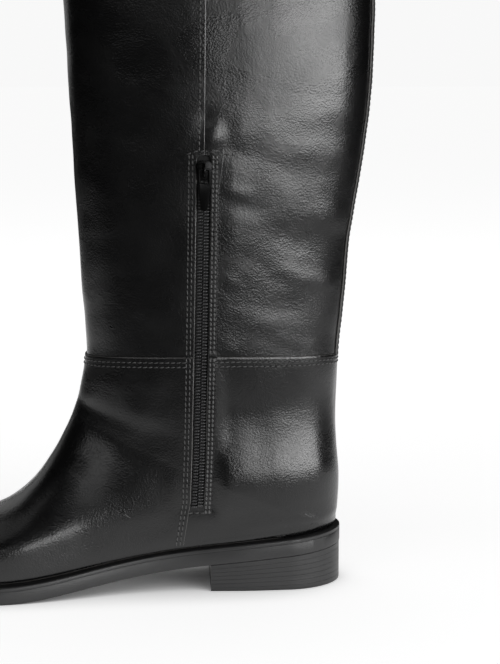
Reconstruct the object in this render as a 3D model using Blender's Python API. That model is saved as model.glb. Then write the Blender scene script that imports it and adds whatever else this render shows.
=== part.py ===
# A tall right boot in smooth leather, with a stacked heel and a zip on its inner side.
# Places on the boot are given in millimetres as (along, inward, up): along runs from the back of the sole
# to the toe, inward runs to the inner side of the leg, and up starts at the floor.
import math

import bmesh
import bpy
import numpy as np

MM = 0.001
GAP = 0.3

# Sole
SOLE_BACK = -1.0
SOLE_TIP = 274.0
SOLE_THICKNESS = 9.3
WELT_THICKNESS = 2.3
WELT_WIDTH = 11.0
WELT_BEVEL = 1.8
OUTSOLE_BEVEL = 0.8
HEEL_LENGTH = 70.0
HEEL_LAYERS = 4
HEEL_GROOVE = 0.4
HEEL_INSET = 0.5
HEEL_ROUND = 30.0
HEEL_SLANT = 0.02
TOE_ROUND = 45.0
INSOLE_THICKNESS = 3.0
INSOLE_INSET = 2.7

# The line where the foot meets the sole lies inside the sole's edge by these amounts
FEATHER_BACK = 2.0
FEATHER_TIP = 3.5
FEATHER_REAR_SIDE = 2.0
FEATHER_FORE_SIDE = 3.5
FEATHER_CHANGE = (100.0, 170.0)

# Leather
WALL = 2.0
PANEL_STEP = 0.7
PANEL_EDGE_RUN = 0.6
PANEL_STEP_START = 6.0
LAP_LIFT = 1.3
LAP_WALL = 1.0
LAP_EASE_ROWS = 3.0
STRIP_HALF_WIDTH = 9.0
STRIP_THICKNESS = 1.0
STRIP_COLUMNS = 7

# Zip, with depths measured from the outer face of the front panel
SLOT_HALF_WIDTH = 4.0
SLOT_BOTTOM = 46.3
SLOT_TOP = 231.4
CUTTER_DEPTH = 7.0
CHAIN_HALF_WIDTH = 3.2
CHAIN_FACE = -0.5
CHAIN_THICKNESS = 1.6
TAPE_HALF_WIDTH = 11.0
TAPE_THICKNESS = 0.6
TAPE_OVERRUN = 5.0
ZIP_STEP = 9.0

# Slider and pull tab
SLIDER_HEIGHT = 224.6
SLIDER_SIZE = (10.0, 10.0)
SLIDER_CORNER = 2.6
SLIDER_PLATE = (0.6, 1.9)
SLIDER_BOSS_SIZE = (5.6, 7.0)
BAIL_SPAN = 6.4
BAIL_TOP = 5.2
BAIL_RADIUS = 0.55
BAIL_POINTS = 9
BAIL_FULLNESS = 0.6
PULL_PIVOT_RISE = 0.4
PULL_PIVOT_OUT = 2.9
PULL_LENGTH = 22.5
PULL_THICKNESS = 1.0
PULL_BAR = 1.0
PULL_WINDOW_LENGTH = 6.6
PULL_WINDOW_HALF_WIDTH = 2.0
PULL_HALF_WIDTH = 3.3
PULL_TIP_HALF_WIDTH = 2.2
PULL_TIP_CORNER = 1.2
PULL_LEAN = math.radians(4.0)

# The middle of the whole boot's length and width, which stands over the origin
MID_ALONG = 128.0
MID_INWARD = -1.1

# Mesh density, the least distance between points, and the step and rounds of the numeric work
SHAFT_ROWS = 15
VAMP_COLUMNS = 12
REAR_COLUMNS = 9
SOLE_STATIONS = 30
END_CROWDING = 0.75
HEEL_STATIONS = 13
SMOOTH_ANGLE = math.radians(35)
POINT_SPACING = 0.002
NORMAL_STEP = 0.002
HALVINGS = 50

# Plan of the sole: half its width and the middle of its width, before its two ends are rounded
PLAN_COLUMNS = ("along", "half", "centre")
PLAN = (
    (-1, 27.5, 0.0),
    (20, 28.2, 0.0),
    (35, 29.3, -0.7),
    (55, 29.8, -1.3),
    (80, 29.0, -2.3),
    (105, 30.2, -2.5),
    (130, 34.6, -2.3),
    (155, 40.2, -1.7),
    (180, 43.8, -1.2),
    (200, 43.0, -0.4),
    (220, 38.8, 0.4),
    (240, 33.2, 1.3),
    (257, 29.4, 2.2),
    (274, 27.0, 3.0),
)

# Height of the top of the sole along the foot: heel seat, arch, tread and toe spring
SOLE_TOP_COLUMNS = ("along", "up")
SOLE_TOP = (
    (-1, 30.5),
    (35, 27.1),
    (70, 23.7),
    (112, 18.6),
    (133, 15.2),
    (157, 11.3),
    (172, 9.7),
    (186, 9.2),
    (210, 9.3),
    (235, 10.6),
    (255, 12.9),
    (274, 15.8),
)

# Sections of the last. Each lies in a plane across the boot, from its top on the ridge to its low end on the
# feather line or the back. half is the widest half width, at the share belly of the way down, centre is the
# middle of that width, ridge is how far inward the top lies, and crown and tail are the powers of the upper
# and lower curves. Where low_up is None the low end stands on the sole.
SECTION_COLUMNS = (
    "top_along", "top_up", "low_along", "low_up", "half", "centre", "belly", "crown", "tail", "ridge",
)
SECTIONS = (
    (270.5, 17.6, 270.5, None, 0.0, 2.8, 0.60, 2.3, 2.4, 2.8),
    (269.5, 20.8, 269.5, None, 5.6, 2.8, 0.60, 2.3, 2.4, 2.7),
    (266.5, 24.6, 266.5, None, 11.0, 2.7, 0.61, 2.3, 2.4, 2.5),
    (260.5, 28.2, 260.5, None, 17.6, 2.4, 0.61, 2.3, 2.4, 2.1),
    (251.0, 31.2, 251.0, None, 24.3, 1.9, 0.62, 2.3, 2.4, 1.8),
    (237.0, 33.8, 237.0, None, 31.2, 1.2, 0.62, 2.3, 2.4, 1.6),
    (220.0, 36.0, 220.0, None, 37.2, 0.4, 0.62, 2.2, 2.4, 1.6),
    (203.0, 38.4, 203.0, None, 41.6, -0.4, 0.62, 2.2, 2.4, 1.8),
    (187.8, 41.9, 187.0, None, 43.1, -1.1, 0.62, 2.1, 2.4, 2.2),
    (176.5, 47.6, 170.0, None, 42.3, -1.5, 0.62, 2.1, 2.4, 2.5),
    (168.2, 54.6, 152.0, None, 39.2, -1.8, 0.62, 2.1, 2.4, 2.5),
    (162.1, 61.2, 131.0, None, 35.6, -1.9, 0.61, 2.1, 2.4, 2.2),
    (157.5, 67.3, 107.0, None, 33.1, -1.8, 0.60, 2.1, 2.5, 1.8),
    (153.9, 72.8, 82.0, None, 31.8, -1.5, 0.59, 2.1, 2.6, 1.4),
    (150.9, 77.9, 58.0, None, 31.4, -1.3, 0.58, 2.1, 2.7, 1.0),
    (148.5, 82.5, 36.0, None, 31.4, -0.8, 0.575, 2.1, 2.8, 0.6),
    (146.6, 86.1, 18.5, None, 31.6, -0.4, 0.57, 2.1, 2.9, 0.3),
    (145.2, 89.1, 7.5, None, 31.8, -0.2, 0.565, 2.1, 2.9, 0.1),
    (144.1, 91.6, 2.0, 30.7, 32.0, 0.0, 0.56, 2.1, 2.9, 0.0),
    (143.1, 94.1, 0.7, 34.9, 32.2, 0.0, 0.555, 2.1, 2.9, 0.0),
    (142.0, 97.0, 0.0, 42.9, 32.4, 0.0, 0.55, 2.1, 2.8, 0.0),
    (140.7, 100.5, 0.7, 54.9, 32.7, 0.0, 0.54, 2.1, 2.7, 0.0),
    (139.4, 104.5, 1.8, 71.9, 33.0, 0.0, 0.53, 2.2, 2.6, 0.0),
    (138.1, 109.1, 2.6, 91.9, 33.3, 0.0, 0.52, 2.2, 2.5, 0.0),
    (136.8, 114.3, 2.3, 112.4, 33.5, 0.0, 0.51, 2.2, 2.4, 0.0),
    (135.5, 123.4, 1.2, 122.4, 33.6, 0.0, 0.50, 2.2, 2.3, 0.0),
    (135.4, 134.9, 0.0, 134.4, 33.8, 0.0, 0.50, 2.2, 2.2, 0.0),
    (136.2, 150.0, -1.6, 150.0, 34.0, 0.0, 0.50, 2.2, 2.2, 0.0),
    (137.9, 170.0, -3.2, 170.0, 34.4, 0.0, 0.50, 2.2, 2.2, 0.0),
    (139.5, 192.0, -5.4, 192.0, 34.9, 0.0, 0.50, 2.2, 2.2, 0.0),
    (140.7, 214.0, -9.2, 214.0, 35.5, 0.0, 0.50, 2.2, 2.2, 0.0),
    (141.7, 236.0, -12.8, 236.0, 36.1, 0.0, 0.50, 2.2, 2.2, 0.0),
    (142.9, 260.0, -15.5, 260.0, 36.8, 0.0, 0.50, 2.2, 2.2, 0.0),
    (144.2, 286.0, -17.0, 286.0, 37.5, 0.0, 0.50, 2.2, 2.2, 0.0),
    (145.5, 314.0, -17.5, 314.0, 38.2, 0.0, 0.50, 2.2, 2.2, 0.0),
    (146.5, 344.0, -17.1, 344.0, 38.8, 0.0, 0.50, 2.2, 2.2, 0.0),
    (146.9, 374.0, -15.9, 374.0, 39.2, 0.0, 0.50, 2.2, 2.2, 0.0),
    (146.6, 402.0, -14.2, 402.0, 39.4, 0.0, 0.50, 2.2, 2.2, 0.0),
)
HEEL_ROW = 18
LAP_ROW = 24
ANKLE_ROW = 25
SHAFT_LOW_ROW = LAP_ROW + 0.1
STRIP_LOW_ROW = ANKLE_ROW + 0.12
TOP_ROW = len(SECTIONS) - 1
TOE_MIRROR_ROWS = 3

# Rows of the foot's mesh, closer together at the toe's tip and the heel's corner, and rows after the side seam's
# lower end
FOOT_ROWS = (
    0.0, 0.4, 0.8, 1.3, 2.0, 2.7, 3.5, 4.5, 5.5, 6.5, 7.5, 8.5, 9.5, 10.4, 11.2, 12.0, 13.8, 14.5, 15.2,
    15.9, 16.5, 17.0, 17.4, 17.7, 17.9, HEEL_ROW, 18.5, 19.2, 20.0, 20.8, 21.6, 22.4, 23.2, LAP_ROW, ANKLE_ROW,
)
SEAM_END_ROWS = (0.0, 0.15, 0.35, 0.6)
TIP_ROWS = 0.02

# Side seam: how far along the front panel's edge and the zip's middle line lie at each height
SEAM_COLUMNS = ("up", "edge", "zip")
SEAM = (
    (24.0, 86.6, 80.4),
    (32.0, 85.4, 79.8),
    (42.0, 83.9, 79.2),
    (57.0, 81.4, 78.5),
    (92.0, 78.4, 77.4),
    (152.0, 76.2, 76.2),
    (229.0, 75.0, 75.0),
    (302.0, 74.2, 74.2),
    (402.0, 73.2, 73.2),
)


def smooth_step(low, high, value):
    share = np.clip((value - low) / (high - low), 0.0, 1.0)
    return share * share * (3.0 - 2.0 * share)


def spline(knots, values):
    """A natural cubic curve through the values, held at its two ends."""
    knots = np.array(knots, float)
    values = np.array(values, float)
    count = len(knots)
    span = np.diff(knots)
    system = np.eye(count)
    right = np.zeros(count)
    for i in range(1, count - 1):
        system[i, i - 1:i + 2] = span[i - 1], 2.0 * (span[i - 1] + span[i]), span[i]
        slope_change = (values[i + 1] - values[i]) / span[i] - (values[i] - values[i - 1]) / span[i - 1]
        right[i] = 6.0 * slope_change
    bend = np.linalg.solve(system, right)

    def at(place):
        place = np.clip(place, knots[0], knots[-1])
        i = np.clip(np.searchsorted(knots, place, side="right") - 1, 0, count - 2)
        after = place - knots[i]
        before = knots[i + 1] - place
        cubic = (bend[i] * before**3 + bend[i + 1] * after**3) / (6.0 * span[i])
        start = (values[i] / span[i] - bend[i] * span[i] / 6.0) * before
        end = (values[i + 1] / span[i] - bend[i + 1] * span[i] / 6.0) * after
        return cubic + start + end

    return at


def column(table, columns, name):
    return [row[columns.index(name)] for row in table]


def table_curves(table, columns, knot):
    """One spline for each column of a table, over the column named knot."""
    knots = column(table, columns, knot)
    return {name: spline(knots, column(table, columns, name)) for name in columns if name != knot}


plan = table_curves(PLAN, PLAN_COLUMNS, "along")
sole_top = table_curves(SOLE_TOP, SOLE_TOP_COLUMNS, "along")["up"]
seam = table_curves(SEAM, SEAM_COLUMNS, "up")


def outsole_bottom(along):
    return np.maximum(sole_top(along) - SOLE_THICKNESS, 0.0)


def end_round(share):
    return np.sqrt(1.0 - (1.0 - np.clip(share, 0.0, 1.0)) ** 2)


def feather_trim(along):
    change = smooth_step(*FEATHER_CHANGE, along)
    return FEATHER_REAR_SIDE + (FEATHER_FORE_SIDE - FEATHER_REAR_SIDE) * change


def outline(along, back, tip, trim):
    """Half width and middle of the sole's plan, with its ends at back and tip and its sides trimmed."""
    rounding = end_round((along - back) / HEEL_ROUND) * end_round((tip - along) / TOE_ROUND)
    return (plan["half"](along) - trim) * rounding, plan["centre"](along)


def feather_line(along):
    return outline(along, FEATHER_BACK, SOLE_TIP - FEATHER_TIP, feather_trim(along))


def section_curves():
    """A curve over the rows for each column. The rows run on past the toe's tip as their own mirror image, so
    that the tip is round."""
    table = []
    for row in SECTIONS:
        cells = dict(zip(SECTION_COLUMNS, row))
        if cells["low_up"] is None:
            cells["low_up"] = float(sole_top(cells["low_along"])) + GAP
        table.append(tuple(cells[name] for name in SECTION_COLUMNS))
    curves = {}
    for name in SECTION_COLUMNS:
        values = column(table, SECTION_COLUMNS, name)
        sign = -1.0 if name == "half" else 1.0
        mirrored = [sign * value for value in values[TOE_MIRROR_ROWS:0:-1]]
        curves[name] = spline(range(-TOE_MIRROR_ROWS, len(values)), mirrored + values)
    return curves


section = section_curves()


def section_ends(row):
    """Top and low end of a section, each as (along, up)."""
    low_along = section["low_along"](row)
    on_sole = sole_top(low_along) + GAP
    low_up = np.where(row < HEEL_ROW, on_sole, section["low_up"](row))
    return section["top_along"](row), section["top_up"](row), low_along, low_up


def section_drop(row, turn):
    """Share of the way from a section's top to its low end, and the curve's two unit parts."""
    cosine = np.cos(turn)
    sine = np.abs(np.sin(turn))
    front = np.abs(turn) <= math.pi / 2
    power = np.where(front, section["crown"](row), section["tail"](row))
    reach = (np.abs(cosine) ** power + sine**power) ** (-1.0 / power)
    belly = section["belly"](row)
    drop = np.where(front, belly * (1.0 - reach * cosine), belly - (1.0 - belly) * reach * cosine)
    return drop, reach * cosine, reach * sine


def skin(row, turn):
    """The last's surface. turn is 0 on the ridge, pi at the low end, and positive on the inner side."""
    row, turn = np.broadcast_arrays(np.asarray(row, float), np.asarray(turn, float))
    top_along, top_up, low_along, low_up = section_ends(row)
    drop, down, out = section_drop(row, turn)
    front = np.abs(turn) <= math.pi / 2
    half = section["half"](row)
    centre = section["centre"](row)
    end_half, end_centre = feather_line(low_along)
    end_half = np.where(row < HEEL_ROW, end_half, 0.0)
    end_centre = np.where(row < HEEL_ROW, end_centre, 0.0)
    middle = np.where(
        front,
        centre + (section["ridge"](row) - centre) * down**2,
        end_centre + (centre - end_centre) * out,
    )
    spread = np.where(front, half * out, end_half + (half - end_half) * out)
    along = top_along + drop * (low_along - top_along)
    up = top_up + drop * (low_up - top_up)
    return np.stack([along, middle + np.sign(turn) * spread, up], axis=-1)


def skin_normal(row, turn):
    """Outward direction of the surface. Where the two sides meet, at the toe's tip and on the back, it has no
    sideways part."""
    row, turn = np.broadcast_arrays(np.asarray(row, float), np.asarray(turn, float))
    at_tip = row < TIP_ROWS
    near = np.clip(row, TIP_ROWS, TOP_ROW)
    turn = np.where(at_tip, np.abs(turn), turn)
    before = np.clip(near - NORMAL_STEP, 0.0, TOP_ROW)
    after = np.clip(near + NORMAL_STEP, 0.0, TOP_ROW)
    along_rows = skin(after, turn) - skin(before, turn)
    past = np.minimum(turn + NORMAL_STEP, math.pi)
    short = np.maximum(turn - NORMAL_STEP, -math.pi)
    normal = np.cross(skin(near, past) - skin(near, short), along_rows)
    on_back = (row >= HEEL_ROW) & (np.abs(turn) > math.pi - NORMAL_STEP)
    normal[..., 1] = np.where(at_tip | on_back, 0.0, normal[..., 1])
    return normal / np.linalg.norm(normal, axis=-1, keepdims=True)


def lifted(row, turn, lift):
    """Points at a distance from the surface, outward where lift is positive."""
    lift = np.broadcast_to(lift, np.broadcast(row, turn).shape)
    return skin(row, turn) + skin_normal(row, turn) * lift[..., None]


def bisect(low, high, is_low):
    """Halves the span to where is_low turns false."""
    for _ in range(HALVINGS):
        middle = 0.5 * (low + high)
        below = is_low(middle)
        low = np.where(below, middle, low)
        high = np.where(below, high, middle)
    return 0.5 * (low + high)


def locate(along, up):
    """Section row and turn of the inner side's surface at a place in the side view."""
    along, up = np.broadcast_arrays(np.asarray(along, float), np.asarray(up, float))

    def ahead(row):
        top_along, top_up, low_along, low_up = section_ends(row)
        return (low_along - top_along) * (up - top_up) < (low_up - top_up) * (along - top_along)

    row = bisect(np.zeros(along.shape), np.full(along.shape, float(TOP_ROW)), ahead)
    top_along, top_up, low_along, low_up = section_ends(row)
    run = (low_along - top_along) ** 2 + (low_up - top_up) ** 2
    share = ((along - top_along) * (low_along - top_along) + (up - top_up) * (low_up - top_up)) / run
    turn = bisect(
        np.zeros(along.shape),
        np.full(along.shape, math.pi),
        lambda middle: section_drop(row, middle)[0] < share,
    )
    return row, turn


def seam_turn(row, behind):
    """Turn at which a section crosses the side seam, or pi where it lies wholly in front of the seam."""

    def in_front(turn):
        point = skin(row, turn)
        return point[..., 0] > seam["edge"](point[..., 2]) - behind

    return bisect(np.zeros(np.shape(row)), np.full(np.shape(row), math.pi), in_front)


def place(points):
    """World position, in metres, of places on the boot."""
    points = np.asarray(points, float)
    return np.stack(
        [MID_ALONG - points[..., 0], MID_INWARD - points[..., 1], points[..., 2]], axis=-1
    ) * MM


def fresh_collection(name):
    collection = bpy.data.collections.new(name)
    bpy.context.scene.collection.children.link(collection)
    return collection


def finish_material(name, colour, roughness, metallic=0.0):
    material = bpy.data.materials.new(name)
    material.use_nodes = True
    shader = material.node_tree.nodes["Principled BSDF"]
    shader.inputs["Base Color"].default_value = (*colour, 1.0)
    shader.inputs["Roughness"].default_value = roughness
    shader.inputs["Metallic"].default_value = metallic
    return material


def without_doubles(points, faces):
    """Points and faces after points in one place are made one, without the faces that shrink to a line."""
    first = {}
    index = [first.setdefault(tuple(key), i) for i, key in enumerate(np.round(points / POINT_SPACING).astype(int))]
    kept = [list(dict.fromkeys(index[i] for i in face)) for face in faces]
    kept = [face for face in kept if len(face) > 2]
    used = sorted({i for face in kept for i in face})
    number = {old: new for new, old in enumerate(used)}
    return points[used], [[number[i] for i in face] for face in kept]


def mesh_object(name, points, faces, collection, material=None):
    """One closed body from points on the boot and the faces between them."""
    points, faces = without_doubles(points, faces)
    body = bmesh.new()
    corners = [body.verts.new(point) for point in place(points)]
    for face in faces:
        body.faces.new([corners[i] for i in face])
    bmesh.ops.recalc_face_normals(body, faces=body.faces)
    mesh = bpy.data.meshes.new(name)
    body.to_mesh(mesh)
    body.free()
    mesh.shade_smooth()
    mesh.set_sharp_from_angle(angle=SMOOTH_ANGLE)
    made = bpy.data.objects.new(name, mesh)
    collection.objects.link(made)
    if material:
        mesh.materials.append(material)
    return made


def grid_faces(rows, columns, start, flip=False):
    """Quads of a grid of points that begins at index start."""
    faces = []
    for i in range(rows - 1):
        for j in range(columns - 1):
            corner = start + i * columns + j
            quad = (corner, corner + 1, corner + columns + 1, corner + columns)
            faces.append(quad[::-1] if flip else quad)
    return faces


def wall_object(name, outer, inner, rims, collection, material):
    """A wall between two grids of points, closed along each rim, a list of (row, column) places."""
    rows, columns = outer.shape[:2]
    count = rows * columns
    faces = grid_faces(rows, columns, 0) + grid_faces(rows, columns, count, flip=True)
    for rim in rims:
        index = [i * columns + j for i, j in rim]
        for a, b in zip(index, index[1:]):
            faces.append((a, b, b + count, a + count))
    points = np.concatenate([outer.reshape(-1, 3), inner.reshape(-1, 3)])
    return mesh_object(name, points, faces, collection, material)


def all_round(columns, row):
    return [(row, j) for j in range(columns)]


def slab(name, outer, inner, collection, material):
    """A strip between two grids, closed on its four sides."""
    rows, columns = outer.shape[:2]
    around = (
        all_round(columns, 0)
        + [(i, columns - 1) for i in range(1, rows)]
        + all_round(columns, rows - 1)[-2::-1]
        + [(i, 0) for i in range(rows - 2, -1, -1)]
    )
    return wall_object(name, outer, inner, [around], collection, material)


def panel_columns(rows):
    """Turns of a row of grid columns from the outer low end over the ridge to the inner low end, and which of
    them lie on the rear panels."""
    edge = seam_turn(rows, 0.0)[:, None]
    foot = seam_turn(rows, PANEL_EDGE_RUN)[:, None]
    vamp = edge * np.linspace(0.0, 1.0, VAMP_COLUMNS + 1)[None, :]
    rear = foot + (math.pi - foot) * np.linspace(0.0, 1.0, REAR_COLUMNS + 1)[None, :]
    inner = np.concatenate([vamp, rear], axis=1)
    on_rear = np.concatenate([np.zeros_like(vamp), np.ones_like(rear)], axis=1)
    turns = np.concatenate([-inner[:, :0:-1], inner], axis=1)
    return turns, np.concatenate([on_rear[:, :0:-1], on_rear], axis=1)


def make_upper(collection, material):
    """The foot: the vamp laps over the counter at the side seam, and the top edge laps over the shaft."""
    low_ahead = lambda row: section["low_along"](row) > seam["edge"](section_ends(row)[3])
    seam_row = bisect(np.array(0.0), np.array(float(HEEL_ROW)), low_ahead)
    rows = np.sort(np.concatenate([FOOT_ROWS, seam_row + np.array(SEAM_END_ROWS)]))
    turns, on_rear = panel_columns(rows)
    grid_rows = np.broadcast_to(rows[:, None], turns.shape)
    base = skin(grid_rows, turns)
    above_sole = base[..., 2] - sole_top(base[..., 0])
    on_rear = on_rear * (grid_rows > seam_row)
    step = -PANEL_STEP * on_rear * smooth_step(0.0, PANEL_STEP_START, above_sole)
    lap = LAP_LIFT * smooth_step(LAP_ROW - LAP_EASE_ROWS, LAP_ROW, grid_rows)
    outer_lift = step + lap
    inner_lift = np.where(grid_rows >= LAP_ROW, LAP_LIFT - LAP_WALL, -WALL)
    inner_lift = inner_lift - PANEL_STEP * on_rear * (grid_rows >= LAP_ROW)
    outer = lifted(grid_rows, turns, outer_lift)
    inner = lifted(grid_rows, turns, inner_lift)
    heel = int(np.argmin(np.abs(rows - HEEL_ROW)))
    last = turns.shape[1] - 1
    feather = [(i, 0) for i in range(heel, -1, -1)] + [(i, last) for i in range(1, heel + 1)]
    rims = [feather, all_round(last + 1, len(rows) - 1)]
    return wall_object("upper", outer, inner, rims, collection, material)


def make_shaft(collection, material):
    """The leg: its front panel stands a step proud of the rear panel, and its lower end is inside the foot."""
    rows = np.concatenate([[SHAFT_LOW_ROW], np.linspace(ANKLE_ROW, TOP_ROW, SHAFT_ROWS)])
    turns, on_rear = panel_columns(rows)
    grid_rows = np.broadcast_to(rows[:, None], turns.shape)
    outer_lift = -PANEL_STEP * np.where(grid_rows <= ANKLE_ROW, 1.0, on_rear)
    outer = lifted(grid_rows, turns, outer_lift)
    inner = lifted(grid_rows, turns, -WALL)
    columns = turns.shape[1]
    rims = [all_round(columns, 0), all_round(columns, len(rows) - 1)]
    return wall_object("shaft", outer, inner, rims, collection, material)


def make_back_strip(collection, material):
    rows = np.linspace(STRIP_LOW_ROW, TOP_ROW, SHAFT_ROWS)
    across = np.linspace(-1.0, 1.0, STRIP_COLUMNS)[None, :] * STRIP_HALF_WIDTH
    turn = math.pi - across / section["half"](rows)[:, None]
    turn = np.where(turn > math.pi, turn - 2.0 * math.pi, turn)
    grid_rows = np.broadcast_to(rows[:, None], turn.shape)
    under = lifted(grid_rows, turn, GAP - PANEL_STEP)
    over = lifted(grid_rows, turn, GAP - PANEL_STEP + STRIP_THICKNESS)
    return slab("back_strip", over, under, collection, material)


def zip_grid(half_width, low, high, lift, columns=5):
    """A grid of points on the inner side that follows the zip's line, at a distance from the surface."""
    up = np.linspace(low, high, round((high - low) / ZIP_STEP) + 1)[:, None]
    along = seam["zip"](up) + np.linspace(half_width, -half_width, columns)[None, :]
    row, turn = locate(along, np.broadcast_to(up, along.shape))
    return lifted(row, turn, lift)


def make_zip_slot(collection):
    outer = zip_grid(SLOT_HALF_WIDTH, SLOT_BOTTOM, SLOT_TOP, CUTTER_DEPTH)
    inner = zip_grid(SLOT_HALF_WIDTH, SLOT_BOTTOM, SLOT_TOP, -CUTTER_DEPTH)
    cutter = slab("zip_slot", outer, inner, collection, None)
    cutter.hide_render = True
    cutter.display_type = "WIRE"
    return cutter


def make_zip_chain(collection, material):
    low, high = SLOT_BOTTOM + GAP, SLOT_TOP - GAP
    outer = zip_grid(CHAIN_HALF_WIDTH, low, high, CHAIN_FACE, columns=3)
    inner = zip_grid(CHAIN_HALF_WIDTH, low, high, CHAIN_FACE - CHAIN_THICKNESS, columns=3)
    return slab("zip_chain", outer, inner, collection, material)


def make_zip_tape(collection, material):
    low, high = SLOT_BOTTOM - TAPE_OVERRUN, SLOT_TOP + TAPE_OVERRUN
    face = -WALL - GAP
    outer = zip_grid(TAPE_HALF_WIDTH, low, high, face)
    inner = zip_grid(TAPE_HALF_WIDTH, low, high, face - TAPE_THICKNESS)
    return slab("zip_tape", outer, inner, collection, material)


def ring(reach, back, tip, trim, height, slant=0.0):
    """A loop of points round the sole's plan: inner side from back to front, then the outer side back again.
    reach is how far each point lies from the back, slant the share by which the inner side goes further."""
    sides = []
    for side in (1.0, -1.0):
        along = back + reach * (1.0 + side * slant)
        half, centre = outline(along, back, tip, trim(along))
        sides.append(np.stack([along, centre + side * half, height(along)], axis=-1))
    return np.concatenate([sides[0], sides[1][::-1]])


def bridge(start_a, start_b, count):
    return [
        (start_a + i, start_a + (i + 1) % count, start_b + (i + 1) % count, start_b + i) for i in range(count)
    ]


def across_faces(start, count):
    """Quads that fill a loop from side to side."""
    return [
        (start + i, start + i + 1, start + count - 2 - i, start + count - 1 - i) for i in range(count // 2 - 1)
    ]


def solid_of_rings(name, rings, collection, material, is_band=False):
    """A solid through a stack of loops: closed across its ends, or as a band whose last loop meets its first."""
    count = len(rings[0])
    faces = []
    for i in range(len(rings) - 1):
        faces += bridge(i * count, (i + 1) * count, count)
    if is_band:
        faces += bridge((len(rings) - 1) * count, 0, count)
    else:
        faces += across_faces(0, count) + across_faces((len(rings) - 1) * count, count)
    return mesh_object(name, np.concatenate(rings), faces, collection, material)


def rounded_stations(count):
    """Shares of the sole's length, closer together at its two rounded ends."""
    share = np.linspace(0.0, 1.0, count)
    crowded = 0.5 * (1.0 - np.cos(math.pi * share))
    return share + END_CROWDING * (crowded - share)


def sole_ring(inset, height):
    back = SOLE_BACK + inset
    tip = SOLE_TIP - inset
    reach = (tip - back) * rounded_stations(SOLE_STATIONS)
    return ring(reach, back, tip, lambda along: inset, height)


def make_outsole(collection, material):
    rings = [
        sole_ring(OUTSOLE_BEVEL, outsole_bottom),
        sole_ring(0.0, lambda along: outsole_bottom(along) + OUTSOLE_BEVEL),
        sole_ring(0.0, lambda along: sole_top(along) - WELT_THICKNESS - GAP),
    ]
    return solid_of_rings("outsole", rings, collection, material)


def make_welt(collection, material):
    under = lambda along: sole_top(along) - WELT_THICKNESS
    rings = [
        sole_ring(0.0, under),
        sole_ring(0.0, lambda along: sole_top(along) - WELT_BEVEL),
        sole_ring(WELT_BEVEL, sole_top),
        sole_ring(WELT_WIDTH, sole_top),
        sole_ring(WELT_WIDTH, under),
    ]
    return solid_of_rings("welt", rings, collection, material, is_band=True)


def make_insole(collection, material):
    back = FEATHER_BACK + INSOLE_INSET
    tip = SOLE_TIP - FEATHER_TIP - INSOLE_INSET
    reach = (tip - back) * rounded_stations(SOLE_STATIONS)
    trim = lambda along: feather_trim(along) + INSOLE_INSET
    rings = [
        ring(reach, back, tip, trim, lambda along: sole_top(along) + GAP),
        ring(reach, back, tip, trim, lambda along: sole_top(along) + GAP + INSOLE_THICKNESS),
    ]
    return solid_of_rings("insole", rings, collection, material)


def make_heel(collection, material):
    """A stack of leather layers: a shallow groove between each two, from the level floor to the sloping seat."""

    def layer_ring(inset, share, shift):
        back = SOLE_BACK + inset
        reach = (1.0 - np.cos(np.linspace(0.0, math.pi / 2, HEEL_STATIONS))) * (HEEL_LENGTH - back)
        level = lambda along: share * (outsole_bottom(along) - GAP) + shift
        return ring(reach, back, SOLE_TIP, lambda along: inset, level, HEEL_SLANT)

    rings = [layer_ring(HEEL_INSET, 0.0, 0.0)]
    for layer in range(1, HEEL_LAYERS):
        share = layer / HEEL_LAYERS
        rings.append(layer_ring(HEEL_INSET, share, -HEEL_GROOVE))
        rings.append(layer_ring(HEEL_INSET + HEEL_GROOVE, share, 0.0))
        rings.append(layer_ring(HEEL_INSET, share, HEEL_GROOVE))
    rings.append(layer_ring(HEEL_INSET, 1.0, 0.0))
    return solid_of_rings("heel", rings, collection, material)


def zip_face(up):
    """Place on the outer face of the leather over the zip's middle line at a height."""
    row, turn = locate(seam["zip"](up), up)
    return skin(row, turn)


def upright_outline(name, loops, thickness, collection, material):
    """A flat piece from closed outlines, standing with its face to the inner side of the leg."""
    curve = bpy.data.curves.new(name, "CURVE")
    curve.dimensions = "2D"
    curve.fill_mode = "BOTH"
    curve.extrude = 0.5 * thickness * MM
    for loop in loops:
        line = curve.splines.new("POLY")
        line.points.add(len(loop) - 1)
        for point, (x, y) in zip(line.points, loop):
            point.co = (x * MM, y * MM, 0.0, 1.0)
        line.use_cyclic_u = True
    curve.materials.append(material)
    made = bpy.data.objects.new(name, curve)
    made.rotation_euler = (math.pi / 2, 0.0, 0.0)
    collection.objects.link(made)
    return made


def rounded_corners(half_width, low, high, radius, steps=4):
    """A rectangle about the vertical axis with rounded corners."""
    points = []
    corners = ((1, high, 0), (-1, high, 1), (-1, low, 2), (1, low, 3))
    for side, edge, quarter in corners:
        x = side * (half_width - radius)
        y = edge - radius if edge == high else edge + radius
        for step in range(steps + 1):
            angle = (quarter + step / steps) * math.pi / 2
            points.append((x + radius * math.cos(angle), y + radius * math.sin(angle)))
    return points


def as_mesh(made, collection):
    """The evaluated object as a plain mesh object at the same place."""
    bpy.context.view_layer.update()
    graph = bpy.context.evaluated_depsgraph_get()
    mesh = bpy.data.meshes.new_from_object(made.evaluated_get(graph))
    body = bmesh.new()
    body.from_mesh(mesh)
    bmesh.ops.remove_doubles(body, verts=body.verts, dist=POINT_SPACING * MM)
    bmesh.ops.recalc_face_normals(body, faces=body.faces)
    body.to_mesh(mesh)
    body.free()
    plain = bpy.data.objects.new(made.name + "_mesh", mesh)
    plain.matrix_world = made.matrix_world.copy()
    collection.objects.link(plain)
    old_name = made.name
    bpy.data.objects.remove(made)
    plain.name = old_name
    return plain


def join_to(target, other):
    """Keeps the other piece hidden and unites it with the target."""
    other.hide_render = True
    other.display_type = "WIRE"
    union = target.modifiers.new("join_" + other.name, "BOOLEAN")
    union.operation = "UNION"
    union.object = other


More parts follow.
